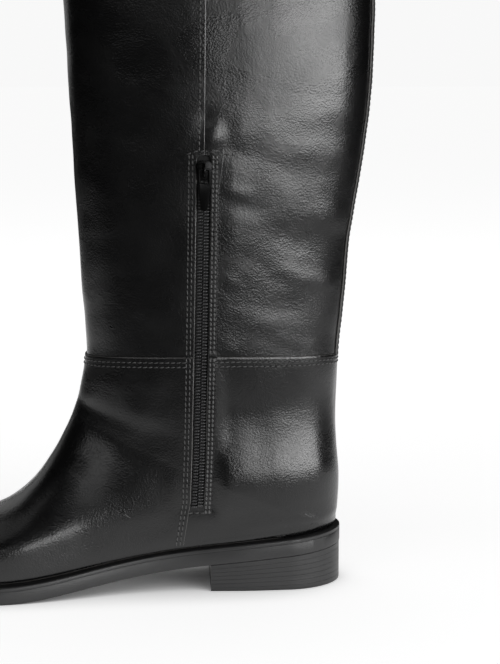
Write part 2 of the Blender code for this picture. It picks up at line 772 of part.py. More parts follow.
def make_slider(parts, cutters, material):
    """Outer plate with a boss down to the chain, and a bail that the pull tab's bar passes under."""
    face = zip_face(SLIDER_HEIGHT)
    width, height = SLIDER_SIZE
    out_low, out_high = SLIDER_PLATE
    corners = rounded_corners(0.5 * width, -0.5 * height, 0.5 * height, SLIDER_CORNER)
    plate = upright_outline("zip_slider", [corners], out_high - out_low, parts, material)
    plate.location = place(face + np.array([0.0, 0.5 * (out_low + out_high), 0.0]))
    plate = as_mesh(plate, parts)

    boss_low = CHAIN_FACE + GAP
    boss_high = 0.5 * (out_low + out_high)
    bpy.ops.mesh.primitive_cube_add(size=1.0)
    boss = bpy.context.object
    boss.name = "slider_boss"
    boss.scale = (SLIDER_BOSS_SIZE[0] * MM, (boss_high - boss_low) * MM, SLIDER_BOSS_SIZE[1] * MM)
    boss.location = place(face + np.array([0.0, 0.5 * (boss_low + boss_high), 0.0]))
    for holder in boss.users_collection:
        holder.objects.unlink(boss)
    cutters.objects.link(boss)

    curve = bpy.data.curves.new("slider_bail", "CURVE")
    curve.dimensions = "3D"
    curve.bevel_depth = BAIL_RADIUS * MM
    curve.bevel_resolution = 2
    curve.use_fill_caps = True
    line = curve.splines.new("POLY")
    angles = np.linspace(0.0, math.pi, BAIL_POINTS)[1:-1]
    rise = BAIL_TOP - BAIL_RADIUS - out_high
    route = [(0.5 * BAIL_SPAN, boss_high)]
    for angle in angles:
        route.append((0.5 * BAIL_SPAN * math.cos(angle), out_high + rise * math.sin(angle) ** BAIL_FULLNESS))
    route += [(-0.5 * BAIL_SPAN, boss_high)]
    line.points.add(len(route) - 1)
    for point, (up, out) in zip(line.points, route):
        point.co = (*place(face + np.array([0.0, out, up])), 1.0)
    bail = bpy.data.objects.new("slider_bail", curve)
    cutters.objects.link(bail)
    bail = as_mesh(bail, cutters)

    join_to(plate, boss)
    join_to(plate, bail)
    return plate


def make_pull(collection, material):
    """The pull tab hangs from its own top bar, whose middle line is the hinge."""
    face = zip_face(SLIDER_HEIGHT)
    window_top = -0.5 * PULL_BAR
    window_low = window_top - PULL_WINDOW_LENGTH
    low = 0.5 * PULL_BAR - PULL_LENGTH
    shoulder = window_low - PULL_BAR
    cut = PULL_TIP_CORNER
    body = [
        (PULL_HALF_WIDTH, 0.5 * PULL_BAR),
        (-PULL_HALF_WIDTH, 0.5 * PULL_BAR),
        (-PULL_HALF_WIDTH, shoulder),
        (-PULL_TIP_HALF_WIDTH, low + cut),
        (-PULL_TIP_HALF_WIDTH + cut, low),
        (PULL_TIP_HALF_WIDTH - cut, low),
        (PULL_TIP_HALF_WIDTH, low + cut),
        (PULL_HALF_WIDTH, shoulder),
    ]
    window = [
        (PULL_WINDOW_HALF_WIDTH, window_top),
        (PULL_WINDOW_HALF_WIDTH, window_low),
        (-PULL_WINDOW_HALF_WIDTH, window_low),
        (-PULL_WINDOW_HALF_WIDTH, window_top),
    ]
    pull = upright_outline("zip_pull", [body, window], PULL_THICKNESS, collection, material)
    pull.location = place(face + np.array([0.0, PULL_PIVOT_OUT, PULL_PIVOT_RISE]))
    pull.rotation_euler = (math.pi / 2 + PULL_LEAN, 0.0, 0.0)
    return pull


def cut_slot(made, cutter):
    slot = made.modifiers.new("zip_slot", "BOOLEAN")
    slot.operation = "DIFFERENCE"
    slot.object = cutter


def build():
    for old in list(bpy.data.objects):
        bpy.data.objects.remove(old)
    parts = fresh_collection("tall_boot")
    cutters = fresh_collection("cutters")
    leather = finish_material("black_leather", (0.012, 0.012, 0.013), 0.38)
    foot_leather = finish_material("foot_leather", (0.012, 0.012, 0.013), 0.36)
    strip_leather = finish_material("strip_leather", (0.012, 0.012, 0.013), 0.38)
    make_outsole(parts, finish_material("outsole_black", (0.020, 0.020, 0.021), 0.5))
    make_welt(parts, finish_material("welt_black", (0.018, 0.018, 0.018), 0.5))
    make_heel(parts, finish_material("heel_black", (0.020, 0.020, 0.021), 0.45))
    make_insole(parts, finish_material("insole_black", (0.03, 0.028, 0.026), 0.6))
    upper = make_upper(parts, foot_leather)
    shaft = make_shaft(parts, leather)
    make_back_strip(parts, strip_leather)
    slot = make_zip_slot(cutters)
    cut_slot(upper, slot)
    cut_slot(shaft, slot)
    make_zip_tape(parts, finish_material("tape_black", (0.014, 0.014, 0.014), 0.85))
    make_zip_chain(parts, finish_material("chain_black", (0.02, 0.02, 0.02), 0.4))
    make_slider(parts, cutters, finish_material("slider_black", (0.03, 0.03, 0.03), 0.35, 0.8))
    make_pull(parts, finish_material("pull_black", (0.03, 0.03, 0.03), 0.35, 0.8))


build()
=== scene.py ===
import math

import bmesh
import bpy
import numpy as np
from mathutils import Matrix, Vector


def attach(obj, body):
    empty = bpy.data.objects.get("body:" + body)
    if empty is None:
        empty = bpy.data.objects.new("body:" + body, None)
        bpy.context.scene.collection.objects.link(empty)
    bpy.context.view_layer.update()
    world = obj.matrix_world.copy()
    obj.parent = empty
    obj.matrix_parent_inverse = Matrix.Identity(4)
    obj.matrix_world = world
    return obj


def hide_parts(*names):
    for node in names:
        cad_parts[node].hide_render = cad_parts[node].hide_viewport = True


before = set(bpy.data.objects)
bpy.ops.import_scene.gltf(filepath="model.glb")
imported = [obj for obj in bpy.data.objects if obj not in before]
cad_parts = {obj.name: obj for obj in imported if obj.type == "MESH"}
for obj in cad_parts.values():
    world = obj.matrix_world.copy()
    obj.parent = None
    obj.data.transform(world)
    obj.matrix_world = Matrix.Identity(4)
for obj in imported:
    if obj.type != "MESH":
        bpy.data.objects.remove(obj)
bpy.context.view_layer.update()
print("frame loaded,", len(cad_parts), "solids")

# Places on the boot are (along, inward, up) in millimetres: along from the heel to the toe, inward to the zip
# side, up from the floor. place() turns them into the frame's metres.
mm = 0.001
boot = {
    "midAlong": 128.0,
    "midInward": -1.1,
    "gap": 0.3,
    "wall": 2.0,
    "panelStep": 0.7,  # rear panels lie this much lower than the front ones
    "lapLift": 0.95,  # the foot's top edge stands this much out from the leg
    "lapWall": 0.8,
    "underlap": 5.0,  # rear panels run on under the front ones
    "rollDepth": 1.6,  # the leather rolls in under itself just above the welt
    "rollRise": 3.6,
}


def place(points):
    along, inward, up = np.moveaxis(np.asarray(points, float), -1, 0)
    return np.stack([boot["midAlong"] - along, boot["midInward"] - inward, up], -1) * mm


def smoothStep(low, high, value):
    share = np.clip((value - low) / (high - low), 0.0, 1.0)
    return share * share * (3.0 - 2.0 * share)


def spline(knots, values):  # natural cubic, held at both ends
    knots = np.array(knots, float)
    values = np.array(values, float)
    count = len(knots)
    span = np.diff(knots)
    system = np.eye(count)
    right = np.zeros(count)
    for i in range(1, count - 1):
        system[i, i - 1:i + 2] = span[i - 1], 2.0 * (span[i - 1] + span[i]), span[i]
        right[i] = 6.0 * ((values[i + 1] - values[i]) / span[i] - (values[i] - values[i - 1]) / span[i - 1])
    bend = np.linalg.solve(system, right)

    def at(where):
        where = np.clip(where, knots[0], knots[-1])
        i = np.clip(np.searchsorted(knots, where, side="right") - 1, 0, count - 2)
        after = where - knots[i]
        before = knots[i + 1] - where
        cubic = (bend[i] * before**3 + bend[i + 1] * after**3) / (6.0 * span[i])
        start = (values[i] / span[i] - bend[i] * span[i] / 6.0) * before
        end = (values[i + 1] / span[i] - bend[i + 1] * span[i] / 6.0) * after
        return cubic + start + end

    return at


def columns(table):
    return [[row[i] for row in table] for i in range(len(table[0]))]


def bisect(low, high, isLow):
    for _ in range(40):
        middle = 0.5 * (low + high)
        below = isLow(middle)
        low = np.where(below, middle, low)
        high = np.where(below, high, middle)
    return 0.5 * (low + high)


sole = {
    "back": -1.0,
    "tip": 274.0,
    "thick": 9.3,
    "heelRound": 30.0,
    "toeRound": 45.0,
    "featherBack": 0.8,
    "featherTip": 3.5,
    "featherSides": (2.0, 3.5),  # rear and fore
    "featherChange": (100.0, 170.0),
    "plan": [  # along, half width, middle
        (-1, 27.5, 0.0), (20, 28.2, 0.0), (35, 29.3, -0.7), (55, 29.8, -1.3), (80, 29.0, -2.3),
        (105, 30.2, -2.5), (130, 34.6, -2.3), (155, 40.2, -1.7), (180, 43.8, -1.2), (200, 43.0, -0.4),
        (220, 38.8, 0.4), (240, 33.2, 1.3), (257, 29.4, 2.2), (274, 27.0, 3.0),
    ],
    "top": [  # along, height of the sole's top
        (-1, 30.5), (35, 27.1), (70, 23.7), (112, 18.6), (133, 15.2), (157, 11.3), (172, 9.7), (186, 9.2),
        (210, 9.3), (235, 10.6), (255, 12.9), (274, 15.8),
    ],
}
planAlong, halves, middles = columns(sole["plan"])
planHalf = spline(planAlong, halves)
planMiddle = spline(planAlong, middles)
soleTop = spline(*columns(sole["top"]))


def soleBottom(along):
    return np.maximum(soleTop(along) - sole["thick"], 0.0)


def endRound(share):
    return np.sqrt(1.0 - (1.0 - np.clip(share, 0.0, 1.0)) ** 2)


def outline(along, back, tip, trim):
    ends = endRound((along - back) / sole["heelRound"]) * endRound((tip - along) / sole["toeRound"])
    return (planHalf(along) - trim) * ends, planMiddle(along)


def featherTrim(along):
    rear, fore = sole["featherSides"]
    return rear + (fore - rear) * smoothStep(*sole["featherChange"], along)


def featherLine(along):
    return outline(along, sole["featherBack"], sole["tip"] - sole["featherTip"], featherTrim(along))


# sections of the last, from the toe's tip over the heel's corner to the collar
last = {
    "names": ("topAlong", "topUp", "lowAlong", "lowUp", "half", "centre", "belly", "crown", "tail", "ridge"),
    "rows": [
        (270.5, 17.6, 270.5, None, 0.0, 2.8, 0.60, 2.3, 2.4, 2.8),
        (269.5, 20.8, 269.5, None, 5.6, 2.8, 0.60, 2.3, 2.4, 2.7),
        (266.5, 24.6, 266.5, None, 11.0, 2.7, 0.61, 2.3, 2.4, 2.5),
        (260.5, 28.2, 260.5, None, 17.6, 2.4, 0.61, 2.3, 2.4, 2.1),
        (251.0, 31.2, 251.0, None, 24.3, 1.9, 0.62, 2.3, 2.4, 1.8),
        (237.0, 33.8, 237.0, None, 31.2, 1.2, 0.62, 2.3, 2.4, 1.6),
        (220.0, 36.0, 220.0, None, 37.2, 0.4, 0.62, 2.2, 2.4, 1.6),
        (203.0, 38.4, 203.0, None, 41.6, -0.4, 0.62, 2.2, 2.4, 1.8),
        (187.8, 41.9, 187.0, None, 43.1, -1.1, 0.62, 2.1, 2.4, 2.2),
        (176.5, 47.6, 170.0, None, 42.3, -1.5, 0.62, 2.1, 2.4, 2.5),
        (168.2, 54.6, 152.0, None, 39.2, -1.8, 0.62, 2.1, 2.4, 2.5),
        (162.1, 61.2, 131.0, None, 35.6, -1.9, 0.61, 2.1, 2.4, 2.2),
        (157.5, 67.3, 107.0, None, 33.1, -1.8, 0.60, 2.1, 2.5, 1.8),
        (153.9, 72.8, 82.0, None, 31.8, -1.5, 0.59, 2.1, 2.6, 1.4),
        (150.9, 77.9, 58.0, None, 31.4, -1.3, 0.58, 2.1, 2.7, 1.0),
        (148.5, 82.5, 36.0, None, 31.4, -0.8, 0.575, 2.1, 2.7, 0.6),
        (146.6, 86.1, 18.5, None, 31.6, -0.4, 0.57, 2.1, 2.7, 0.3),
        (145.2, 89.1, 7.5, None, 31.8, -0.2, 0.565, 2.1, 2.7, 0.1),
        (144.1, 91.6, 0.8, 30.7, 32.0, 0.0, 0.56, 2.1, 2.67, 0.0),
        (143.1, 94.1, 0.2, 34.9, 32.2, 0.0, 0.555, 2.1, 2.64, 0.0),
        (142.0, 97.0, 0.0, 42.9, 32.4, 0.0, 0.55, 2.1, 2.6, 0.0),
        (140.7, 100.5, 0.3, 54.9, 32.7, 0.0, 0.54, 2.1, 2.54, 0.0),
        (139.4, 104.5, 1.0, 71.9, 33.0, 0.0, 0.53, 2.2, 2.46, 0.0),
        (138.1, 109.1, 1.4, 91.9, 33.3, 0.0, 0.52, 2.2, 2.4, 0.0),
        (136.8, 114.3, 1.1, 112.4, 33.5, 0.0, 0.51, 2.2, 2.35, 0.0),
        (135.6, 123.4, 0.7, 122.4, 33.6, 0.0, 0.50, 2.2, 2.3, 0.0),
        (135.9, 134.9, 0.0, 134.4, 33.8, 0.0, 0.50, 2.2, 2.2, 0.0),
        (136.9, 150.0, -1.6, 150.0, 34.0, 0.0, 0.50, 2.2, 2.2, 0.0),
        (138.4, 170.0, -3.2, 170.0, 34.4, 0.0, 0.50, 2.2, 2.2, 0.0),
        (139.5, 192.0, -5.4, 192.0, 34.9, 0.0, 0.50, 2.2, 2.2, 0.0),
        (140.7, 214.0, -9.2, 214.0, 35.5, 0.0, 0.50, 2.2, 2.2, 0.0),
        (141.7, 236.0, -12.8, 236.0, 36.1, 0.0, 0.50, 2.2, 2.2, 0.0),
        (142.9, 260.0, -15.5, 260.0, 36.8, 0.0, 0.50, 2.2, 2.2, 0.0),
        (144.2, 286.0, -17.0, 286.0, 37.5, 0.0, 0.50, 2.2, 2.2, 0.0),
        (145.5, 314.0, -17.5, 314.0, 38.2, 0.0, 0.50, 2.2, 2.2, 0.0),
        (146.5, 344.0, -17.1, 344.0, 38.8, 0.0, 0.50, 2.2, 2.2, 0.0),
        (146.9, 374.0, -15.9, 374.0, 39.2, 0.0, 0.50, 2.2, 2.2, 0.0),
        (146.6, 402.0, -14.2, 402.0, 39.4, 0.0, 0.50, 2.2, 2.2, 0.0),
    ],
    "heelRow": 18,
    "lapRow": 24,
    "ankleRow": 25,
    "toeMirror": 3,  # rows run on past the tip as their mirror image, so that the tip is round
    "tipRows": 0.02,
    "step": 0.002,
    "softRows": 2.2,  # the change at the heel's corner is spread over this many rows away from the sole
    "softFrom": (14.0, 16.0),
    "softOut": 0.45,
    "softSteps": 100,  # a row
}
topRow = len(last["rows"]) - 1


def lastCurves():
    table = [list(row) for row in last["rows"]]
    for row in table:
        if row[3] is None:
            row[3] = float(soleTop(row[2])) + boot["gap"]
    curves = {}
    extra = last["toeMirror"]
    for i, name in enumerate(last["names"]):
        values = [row[i] for row in table]
        sign = -1.0 if name == "half" else 1.0
        curves[name] = spline(range(-extra, len(values)), [sign * v for v in values[extra:0:-1]] + values)
    return curves


lastAt = lastCurves()


def sectionEnds(row):
    lowAlong = lastAt["lowAlong"](row)
    lowUp = np.where(row < last["heelRow"], soleTop(lowAlong) + boot["gap"], lastAt["lowUp"](row))
    return lastAt["topAlong"](row), lastAt["topUp"](row), lowAlong, lowUp


def sectionDrop(row, turn):
    cosine = np.cos(turn)
    sine = np.abs(np.sin(turn))
    front = np.abs(turn) <= math.pi / 2
    power = np.where(front, lastAt["crown"](row), lastAt["tail"](row))
    reach = (np.abs(cosine) ** power + sine**power) ** (-1.0 / power)
    belly = lastAt["belly"](row)
    drop = np.where(front, belly * (1.0 - reach * cosine), belly - (1.0 - belly) * reach * cosine)
    return drop, reach * cosine, reach * sine


# how the counter draws in to the sole at the back
heelTuck = {"middle": 45.0, "rise": 10.0, "fade": (22.0, 60.0), "span": 0.75 * math.pi, "reach": 80.0}


def featherReach():  # distance of the feather line from a middle point, by direction
    angles = np.linspace(-heelTuck["span"], heelTuck["span"], 601)  # 0 points backwards

    def inside(reach):
        along = heelTuck["middle"] - reach * np.cos(angles)
        half, middle = featherLine(np.maximum(along, sole["featherBack"]))
        return (np.abs(reach * np.sin(angles) - middle) < half) & (along > sole["featherBack"])

    reach = bisect(0.0, heelTuck["reach"], inside)
    return lambda angle: np.interp(angle, angles, reach)


featherAt = featherReach()


def tucked(points):
    back = heelTuck["middle"] - points[..., 0]
    angle = np.arctan2(points[..., 1], back)
    reach = np.hypot(back, points[..., 1])
    above = points[..., 2] - soleTop(points[..., 0]) - boot["gap"]
    share = 1.0 - smoothStep(0.0, heelTuck["rise"], above)
    share = share * (1.0 - smoothStep(*heelTuck["fade"], points[..., 0]))
    drawn = np.maximum(reach - featherAt(angle), 0.0) * share
    scale = 1.0 - drawn / np.maximum(reach, 1e-6)
    return np.stack([heelTuck["middle"] - back * scale, points[..., 1] * scale, points[..., 2]], -1)


def softEnds():
    rows = np.linspace(0.0, topRow, topRow * last["softSteps"] + 1)
    ends = np.where(rows < last["heelRow"], featherLine(lastAt["lowAlong"](rows))[0], 0.0)
    reach = int(last["softRows"] * last["softSteps"])
    weight = np.hanning(2 * reach + 1)
    padded = np.concatenate([np.full(reach, ends[0]), ends, np.full(reach, ends[-1])])
    soft = np.convolve(padded, weight / weight.sum(), "valid")
    near = smoothStep(*last["softFrom"], rows)  # only round the heel's corner
    soft = ends + (soft - ends) * near
    return lambda row: np.interp(row, rows, soft)


softEnd = softEnds()


def skin(row, turn):  # turn is 0 on the ridge, pi at the low end, positive on the inner side
    row, turn = np.broadcast_arrays(np.asarray(row, float), np.asarray(turn, float))
    topAlong, topUp, lowAlong, lowUp = sectionEnds(row)
    drop, down, out = sectionDrop(row, turn)
    front = np.abs(turn) <= math.pi / 2
    half = lastAt["half"](row)
    centre = lastAt["centre"](row)
    endHalf, endCentre = featherLine(lowAlong)
    endHalf = np.where(row < last["heelRow"], endHalf, 0.0)
    endHalf = endHalf + (softEnd(row) - endHalf) * smoothStep(0.0, last["softOut"], out)
    endCentre = np.where(row < last["heelRow"], endCentre, 0.0)
    middle = np.where(
        front, centre + (lastAt["ridge"](row) - centre) * down**2, endCentre + (centre - endCentre) * out
    )
    spread = np.where(front, half * out, endHalf + (half - endHalf) * out)
    return tucked(np.stack([
        topAlong + drop * (lowAlong - topAlong),
        middle + np.sign(turn) * spread,
        topUp + drop * (lowUp - topUp),
    ], -1))


def skinNormal(row, turn):
    step = last["step"]
    row, turn = np.broadcast_arrays(np.asarray(row, float), np.asarray(turn, float))
    atTip = row < last["tipRows"]
    near = np.clip(row, last["tipRows"], topRow)
    turn = np.where(atTip, np.abs(turn), turn)
    alongRows = skin(np.clip(near + step, 0.0, topRow), turn) - skin(np.clip(near - step, 0.0, topRow), turn)
    around = skin(near, np.minimum(turn + step, math.pi)) - skin(near, np.maximum(turn - step, -math.pi))
    normal = np.cross(around, alongRows)
    onBack = (row >= last["heelRow"]) & (np.abs(turn) > math.pi - step)
    normal[..., 1] = np.where(atTip | onBack, 0.0, normal[..., 1])
    return normal / np.linalg.norm(normal, axis=-1, keepdims=True)


# soft troughs (minus) and ridges (plus) of the worn leather, drawn in the side view as (along, up) lines
creases = {
    "inner": [  # lift, width, line
        (1.0, 3.4, [(70.6, 245.5), (70.4, 240.5), (72.4, 235.5)]),  # bulge over the zip's end
        (-0.45, 3.6, [(74.4, 252.0), (74.6, 245.0)]),
        (-0.4, 4.5, [(63.4, 247.0), (62.0, 235.0)]),
        (-0.25, 8.0, [(54.0, 233.0), (30.0, 225.0), (8.0, 221.0)]),
        (0.5, 9.0, [(30.0, 207.0), (18.0, 203.0), (6.0, 199.0)]),
        (0.3, 3.4, [(65.0, 215.5), (60.0, 213.5), (54.0, 212.0)]),
        (-0.28, 4.5, [(64.0, 207.5), (48.0, 204.0)]),
        (-0.18, 6.0, [(40.0, 194.0), (30.0, 188.0), (18.0, 181.0), (8.0, 175.0)]),
        (0.28, 4.4, [(34.0, 172.5), (24.0, 168.0), (9.0, 164.0)]),
        (0.3, 2.8, [(63.0, 169.0), (61.0, 166.0)]),
        (-0.14, 5.0, [(58.0, 181.0), (46.0, 176.0), (38.0, 169.0)]),
        (0.16, 5.0, [(63.0, 153.0), (48.0, 148.0), (36.0, 144.0), (24.0, 140.5)]),
        (-0.12, 4.5, [(60.0, 141.0), (44.0, 137.5)]),
        (0.18, 4.0, [(33.0, 135.5), (26.0, 133.0), (18.0, 132.0)]),
        (0.25, 4.0, [(67.0, 133.0), (60.0, 131.0)]),
        (-0.2, 6.0, [(90.0, 190.0), (98.0, 176.0), (104.0, 158.0)]),  # front panel, faint
        (0.2, 6.0, [(94.0, 152.0), (102.0, 140.0), (108.0, 132.0)]),
        (0.2, 8.0, [(112.0, 260.0), (110.0, 236.0)]),
        (-0.3, 6.5, [(93.0, 112.0), (100.0, 98.0), (104.0, 82.0)]),  # vamp, from the zip forwards
        (0.25, 6.0, [(102.0, 110.0), (110.0, 94.0), (116.0, 80.0)]),
        (0.7, 13.0, [(104.0, 92.0), (106.0, 74.0), (110.0, 60.0)]),  # vamp, full in front of the zip
        (-0.25, 7.0, [(122.0, 100.0), (128.0, 86.0), (136.0, 74.0)]),
        (0.7, 9.0, [(180.0, 23.0), (151.0, 33.0), (128.0, 41.5), (102.0, 45.0)]),  # where its side turns up
        (0.7, 11.0, [(66.0, 60.0), (50.0, 61.0)]),  # counter, beside the zip
        (-0.6, 12.0, [(67.0, 90.0), (50.0, 91.0)]),
        (-0.15, 4.0, [(46.0, 66.0), (44.0, 88.0)]),
    ],
    "outer": [
        (-0.3, 5.0, [(64.0, 205.0), (44.0, 200.0), (20.0, 204.0)]),
        (0.45, 8.0, [(40.0, 218.0), (14.0, 214.0)]),
        (-0.35, 4.5, [(50.0, 180.0), (28.0, 176.0), (4.0, 182.0)]),
        (0.32, 4.0, [(44.0, 170.0), (20.0, 167.0), (4.0, 168.0)]),
        (-0.28, 5.5, [(66.0, 159.0), (40.0, 155.0), (16.0, 157.0)]),
        (0.28, 5.0, [(54.0, 144.0), (30.0, 142.0)]),
        (-0.22, 6.0, [(98.0, 186.0), (106.0, 164.0)]),
        (-0.3, 6.5, [(98.0, 108.0), (108.0, 90.0), (116.0, 74.0)]),
        (0.25, 6.5, [(112.0, 104.0), (122.0, 86.0)]),
    ],
    "both": [  # counter, full above the sole
        (2.6, 17.0, [(72.0, 55.0), (40.0, 57.5), (16.0, 60.0)]),
        (-2.0, 18.0, [(72.0, 99.0), (40.0, 100.0), (16.0, 101.0)]),
    ],
    "sideRun": 9.0,  # strokes fade over this inward distance towards the front and back lines
    "zipClear": (7.5, 15.0),  # and beside the zip
    "zipEnds": (12.0, 8.0),
    "soleFade": (4.0, 22.0),
    "slackWaves": 16,  # gentle unevenness of the whole upper
    "slackLengths": (17.0, 70.0),
    "slackHeight": 0.0085 / 6.3,  # as a share of a wave's length
    "seed": 5,
}


def slackWaves():
    dice = np.random.RandomState(creases["seed"])
    lengths = np.geomspace(*creases["slackLengths"], creases["slackWaves"])
    ways = dice.normal(size=(len(lengths), 3))
    ways /= np.linalg.norm(ways, axis=1, keepdims=True)
    waves = []
    for way, length in zip(ways, lengths):
        phase = dice.uniform(0.0, 2.0 * math.pi)
        waves.append((way * 2.0 * math.pi / length, phase, creases["slackHeight"] * length))
    return waves


slack = slackWaves()
# side seam: height, the front panel's edge, the zip's middle line
seamRows = [
    (24.0, 86.6, 80.4), (32.0, 85.4, 79.8), (42.0, 83.9, 79.2), (57.0, 81.4, 78.5), (92.0, 78.4, 77.4),
    (152.0, 76.2, 76.2), (229.0, 75.0, 75.0), (302.0, 74.2, 74.2), (402.0, 73.2, 73.2),
]
seamUps, seamEdges, zipMiddles = columns(seamRows)
seamEdge = spline(seamUps, seamEdges)
zipLine = spline(seamUps, zipMiddles)
slot = {"half": 4.0, "low": 46.9, "top": 232.4, "lowEase": 8.0}


def strokeDistance(along, up, line):
    best = np.full(np.shape(along), 1e9)
    for (a0, u0), (a1, u1) in zip(line, line[1:]):
        run = (a1 - a0) ** 2 + (u1 - u0) ** 2
        share = np.clip(((along - a0) * (a1 - a0) + (up - u0) * (u1 - u0)) / run, 0.0, 1.0)
        best = np.minimum(best, np.hypot(along - a0 - share * (a1 - a0), up - u0 - share * (u1 - u0)))
    return best


def relief(points):
    along, inward, up = points[..., 0], points[..., 1], points[..., 2]
    total = np.zeros(along.shape)
    for side, strokes in ((1.0, creases["inner"]), (-1.0, creases["outer"])):
        weight = smoothStep(0.0, creases["sideRun"], inward * side)
        for lift, width, line in strokes + creases["both"]:
            total += lift * weight * np.exp(-(strokeDistance(along, up, line) / width) ** 2)
    for way, phase, height in slack:
        total += height * np.sin(points @ way + phase)
    nearZip = np.abs(along - zipLine(up))
    low, top = slot["low"], slot["top"]
    below, above = creases["zipEnds"]
    zipRange = smoothStep(low - below, low, up) * (1.0 - smoothStep(top, top + above, up))
    calm = 1.0 - zipRange * (inward > 0) * (1.0 - smoothStep(*creases["zipClear"], nearZip))
    lowFoot = smoothStep(*creases["soleFade"], up - soleTop(along))
    return total * calm * lowFoot


def leather(row, turn, lift):
    base = skin(row, turn)
    lift = np.broadcast_to(lift, base.shape[:-1])
    above = base[..., 2] - soleTop(base[..., 0]) - boot["gap"]
    under = 1.0 - np.clip(above / boot["rollRise"], 0.0, 1.0)
    rolled = boot["rollDepth"] * under**2 * np.clip(1.0 + lift / boot["wall"], 0.0, 1.0)
    return base + skinNormal(row, turn) * (lift + relief(base) - rolled)[..., None]


def locate(along, up):  # row and turn of the inner side at a place in the side view
    along, up = np.broadcast_arrays(np.asarray(along, float), np.asarray(up, float))

    def ahead(row):
        topAlong, topUp, lowAlong, lowUp = sectionEnds(row)
        return (lowAlong - topAlong) * (up - topUp) < (lowUp - topUp) * (along - topAlong)

    row = bisect(0.0, float(topRow), ahead)
    topAlong, topUp, lowAlong, lowUp = sectionEnds(row)
    run = (lowAlong - topAlong) ** 2 + (lowUp - topUp) ** 2
    share = ((along - topAlong) * (lowAlong - topAlong) + (up - topUp) * (lowUp - topUp)) / run
    return row, bisect(0.0, math.pi, lambda turn: sectionDrop(row, turn)[0] < share)


def showPiece(name, data):
    piece = bpy.data.objects.new(name, data)
    bpy.context.scene.collection.objects.link(piece)
    return piece


# camera at the photograph's angle
cameraSet = {"distance": 1.0, "yaw": 5.5, "height": 0.285, "aim": (48.0, 0.0, 135.4), "lens": 102.0}


def makeCamera():
    aim = Vector(place(cameraSet["aim"]).tolist())
    yaw = math.radians(cameraSet["yaw"])
    spot = Vector((aim.x, aim.y, 0.0)) + Vector((-math.sin(yaw), -math.cos(yaw), 0.0)) * cameraSet["distance"]
    spot.z = cameraSet["height"]
    data = bpy.data.cameras.new("photoCamera")
    data.sensor_fit = "VERTICAL"
    data.sensor_height = 36.0
    data.lens = cameraSet["lens"]
    camera = showPiece("photoCamera", data)
    camera.location = spot
    camera.rotation_euler = (aim - spot).to_track_quat("-Z", "Y").to_euler()
    bpy.context.scene.camera = camera


makeCamera()
print("camera set")


class Nodes:  # a small helper for node trees
    def __init__(self, tree):
        self.tree = tree

    def add(self, kind, inputs=None, **settings):
        node = self.tree.nodes.new(kind)
        for name, value in settings.items():
            setattr(node, name, value)
        for name, value in (inputs or {}).items():
            self.feed(node.inputs[name], value)
        return node

    def feed(self, target, value):  # sockets are linked, constants are set
        if isinstance(value, bpy.types.NodeSocket):
            self.tree.links.new(value, target)
        else:
            target.default_value = value

    def coords(self):
        return self.add("ShaderNodeTexCoord").outputs["Object"]


def newMaterial(name):
    material = bpy.data.materials.new(name)
    material.use_nodes = True
    return material, Nodes(material.node_tree), material.node_tree.nodes["Principled BSDF"]


def mapRange(nodes, source, low, high, toLow, toHigh):
    inputs = {"Value": source, "From Min": low, "From Max": high, "To Min": toLow, "To Max": toHigh}
    return nodes.add("ShaderNodeMapRange", inputs).outputs["Result"]


def noise(nodes, vector, scale, detail=2.0, rough=0.5):
    inputs = {"Vector": vector, "Scale": scale, "Detail": detail, "Roughness": rough}
    return nodes.add("ShaderNodeTexNoise", inputs).outputs["Fac"]


def combined(nodes, how, first, second):
    return nodes.add("ShaderNodeMath", {0: first, 1: second}, operation=how).outputs["Value"]


def bump(nodes, height, strength, distance, before=None):
    inputs = {"Height": height, "Strength": strength, "Distance": distance}
    if before:
        inputs["Normal"] = before
    return nodes.add("ShaderNodeBump", inputs).outputs["Normal"]


def blendColours(nodes, factor, first, second):
    node = nodes.add("ShaderNodeMix", {"Factor": factor}, data_type="RGBA")
    ends = [socket for socket in node.inputs if socket.type == "RGBA"]
    for target, colour in zip(ends, (first, second)):
        nodes.feed(target, (*colour, 1.0) if isinstance(colour, tuple) else colour)
    return [socket for socket in node.outputs if socket.type == "RGBA"][0]


def toneRoughness(nodes, tone, rough):
    return mapRange(nodes, tone, 0.3, 0.7, *rough)


leatherLook = {
    "dark": (0.0013, 0.0013, 0.0014),
    "light": (0.0028, 0.0028, 0.003),
    # pale cut edge: partly the bare leather edge, partly a painted highlight for the light the rounded edge
    # catches
    "cutEdge": (0.2, 0.195, 0.19),
    "patchScale": 38.0,  # scales are cells a metre
    "grainScale": 1050.0,
    "grainSoft": 0.4,
    "poreScale": 2600.0,
    "slackScale": 300.0,
    "crinkleScale": 105.0,
    "grain": (0.36, 0.00022),  # strength, distance
    "pores": (0.3, 0.0001),
    "slack": (0.2, 0.0004),
    "crinkle": (0.2, 0.0009),
    "roughness": (0.23, 0.32),
    "coat": 0.16,
    "coatRoughness": 0.14,
}


